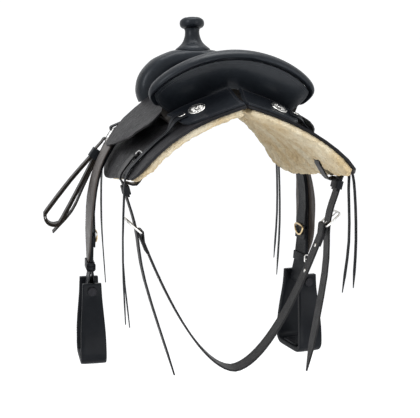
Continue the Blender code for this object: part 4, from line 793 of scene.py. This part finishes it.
for hand, side in SIDES:
    node = "flank_billet_" + hand
    tail_x, slope = TAILS[hand]
    mouths = []
    for z in HOLE_HEIGHTS:
        at = Vector((side * (tail_x - slope * (TAIL_Z - z)), FLANK_Y, z))
        mouths += [seat_on([node], at, (way, 0, 0)) for way in (1, -1)]
    heads("billet_holes_" + hand, node, mouths, MOUTH, HOLE_SHADE, HOLE_TURNS)

    start, way = Vector(on_side(side, FLANK_TONGUE_AT)), Vector(on_side(side, FLANK_TONGUE_WAY))
    points = [start + way * (FLANK_TONGUE_LENGTH * k / 6) for k in range(7)]
    tongue("flank_tongue_" + hand, "flank_buckle_" + hand, points, FLANK_TONGUE_R)

    x = LEATHER_TONGUE_X[hand]
    points = [Vector((x, LEG_Y, LEATHER_TONGUE_Z + LEATHER_TONGUE_LENGTH * k / 4)) for k in range(5)]
    tongue("leather_tongue_" + hand, "leather_buckle_" + hand, points, LEATHER_TONGUE_R)

    x0, x1, z = HOBBLE_TONGUE[hand]
    points = [Vector((x0 + (x1 - x0) * k / 4, HOBBLE_TONGUE_Y, z)) for k in range(5)]
    tongue("hobble_tongue_" + hand, "hobble_buckle_" + hand, points, HOBBLE_TONGUE_R)


# ---------- studio ----------
FLOOR_Z = -1.15
FLOOR_HALF = 6.0
FLOOR_BEND = 1.5        # radius of the curve from floor to backdrop
BACKDROP_Y = 3.0        # where that curve starts
BACKDROP_TOP = 5.0
FLOOR_GLOW = 0.70       # makes the lit paper white to the camera
WORLD = 0.42            # light from all round
PHOTO_FOCUS = 1035.0    # the fitted camera's focal length, and the photograph's width, in pixels
PHOTO_WIDTH = 420.0
PHOTO_EYE = (-0.489, -2.321, 0.118)
PHOTO_AIM = (-0.004, 0.0, -0.253)
SENSOR = 36.0
# softboxes: name, place, what it is turned to, size, watts and, on one, colour
LAMPS = (("top_box", (0.1, 0.3, 2.1), (0, 0, -0.1), (1.5, 1.2), 34.0),
         ("key_box", (-1.9, -1.3, 1.2), (0, 0, -0.2), (0.8, 1.3), 26.0, (0.97, 0.985, 1.0)),
         ("fill_box", (1.7, -2.0, 0.4), (0, 0, -0.3), (1.0, 1.5), 15.0),
         ("low_box", (0.3, -1.6, -0.95), (0, 0, -0.2), (1.6, 0.8), 11.0))


def shows_white(tree):
    """1 for the rays that see the background itself: the camera's, and those mirrored or let through."""
    path = tree.nodes.new("ShaderNodeLightPath")
    value = path.outputs["Is Camera Ray"]
    for kind in ("Is Glossy Ray", "Is Transmission Ray"):
        top = tree.nodes.new("ShaderNodeMath")
        top.operation = "MAXIMUM"
        tree.links.new(value, top.inputs[0])
        tree.links.new(path.outputs[kind], top.inputs[1])
        value = top.outputs["Value"]
    return value


world = bpy.data.worlds.new("studio")
bpy.context.scene.world = world
world.use_nodes = True
tree = world.node_tree
plain = tree.nodes["Background"]
plain.inputs["Color"].default_value = (0.93, 0.96, 1.0, 1)
plain.inputs["Strength"].default_value = WORLD
white = tree.nodes.new("ShaderNodeBackground")
white.inputs["Color"].default_value = (1, 1, 1, 1)
mix = tree.nodes.new("ShaderNodeMixShader")
tree.links.new(shows_white(tree), mix.inputs[0])
tree.links.new(plain.outputs[0], mix.inputs[1])
tree.links.new(white.outputs[0], mix.inputs[2])
tree.links.new(mix.outputs[0], tree.nodes["World Output"].inputs["Surface"])

floor_mesh = bpy.data.meshes.new("floor")
bm = bmesh.new()
rows = [(-FLOOR_HALF, FLOOR_Z), (BACKDROP_Y, FLOOR_Z)]
for a in (math.pi / 2 * k / 12 for k in range(1, 13)):
    rows.append((BACKDROP_Y + FLOOR_BEND * math.sin(a), FLOOR_Z + FLOOR_BEND - FLOOR_BEND * math.cos(a)))
rows.append((BACKDROP_Y + FLOOR_BEND, BACKDROP_TOP))
lines = [[bm.verts.new((x, y, z)) for x in (-FLOOR_HALF, FLOOR_HALF)] for y, z in rows]
for a, b in zip(lines, lines[1:]):
    bm.faces.new((a[0], a[1], b[1], b[0]))
bm.to_mesh(floor_mesh)
bm.free()
floor_mesh.shade_smooth()
floor = bpy.data.objects.new("floor", floor_mesh)
bpy.context.scene.collection.objects.link(floor)
paper = Nodes("floor_paper")
speck = paper.noise(40.0, 3.0, 0.5)
paper.set(Base_Color=paper.ramp(speck, (0.3, 0.66), (0.7, 0.70)), Roughness=0.9, Specular_IOR_Level=0.1)
paper.set(Emission_Color=(1.0, 1.0, 1.0, 1.0))
paper.set(Emission_Strength=paper.range(shows_white(paper.tree), 0.0, 1.0, 0.0, FLOOR_GLOW))
floor_mesh.materials.append(paper.mat)


def softbox(name, at, toward, size, watts, colour=(1, 1, 1)):
    data = bpy.data.lights.new(name, "AREA")
    data.shape = "RECTANGLE"
    data.size, data.size_y = size
    data.energy = watts
    data.color = colour
    ob = bpy.data.objects.new(name, data)
    ob.location = at
    ob.rotation_euler = (Vector(toward) - Vector(at)).to_track_quat("-Z", "Y").to_euler()
    bpy.context.scene.collection.objects.link(ob)


for lamp in LAMPS:
    softbox(*lamp)

lens = bpy.data.cameras.new("camera")
lens.sensor_fit = "HORIZONTAL"
lens.sensor_width = SENSOR
lens.lens = PHOTO_FOCUS * SENSOR / PHOTO_WIDTH
lens.clip_start = 0.05
lens.clip_end = 50.0
camera = bpy.data.objects.new("camera", lens)
camera.location = PHOTO_EYE
camera.rotation_euler = (Vector(PHOTO_AIM) - camera.location).to_track_quat("-Z", "Y").to_euler()
bpy.context.scene.collection.objects.link(camera)
bpy.context.scene.camera = camera
bpy.context.scene.view_settings.view_transform = "Standard"
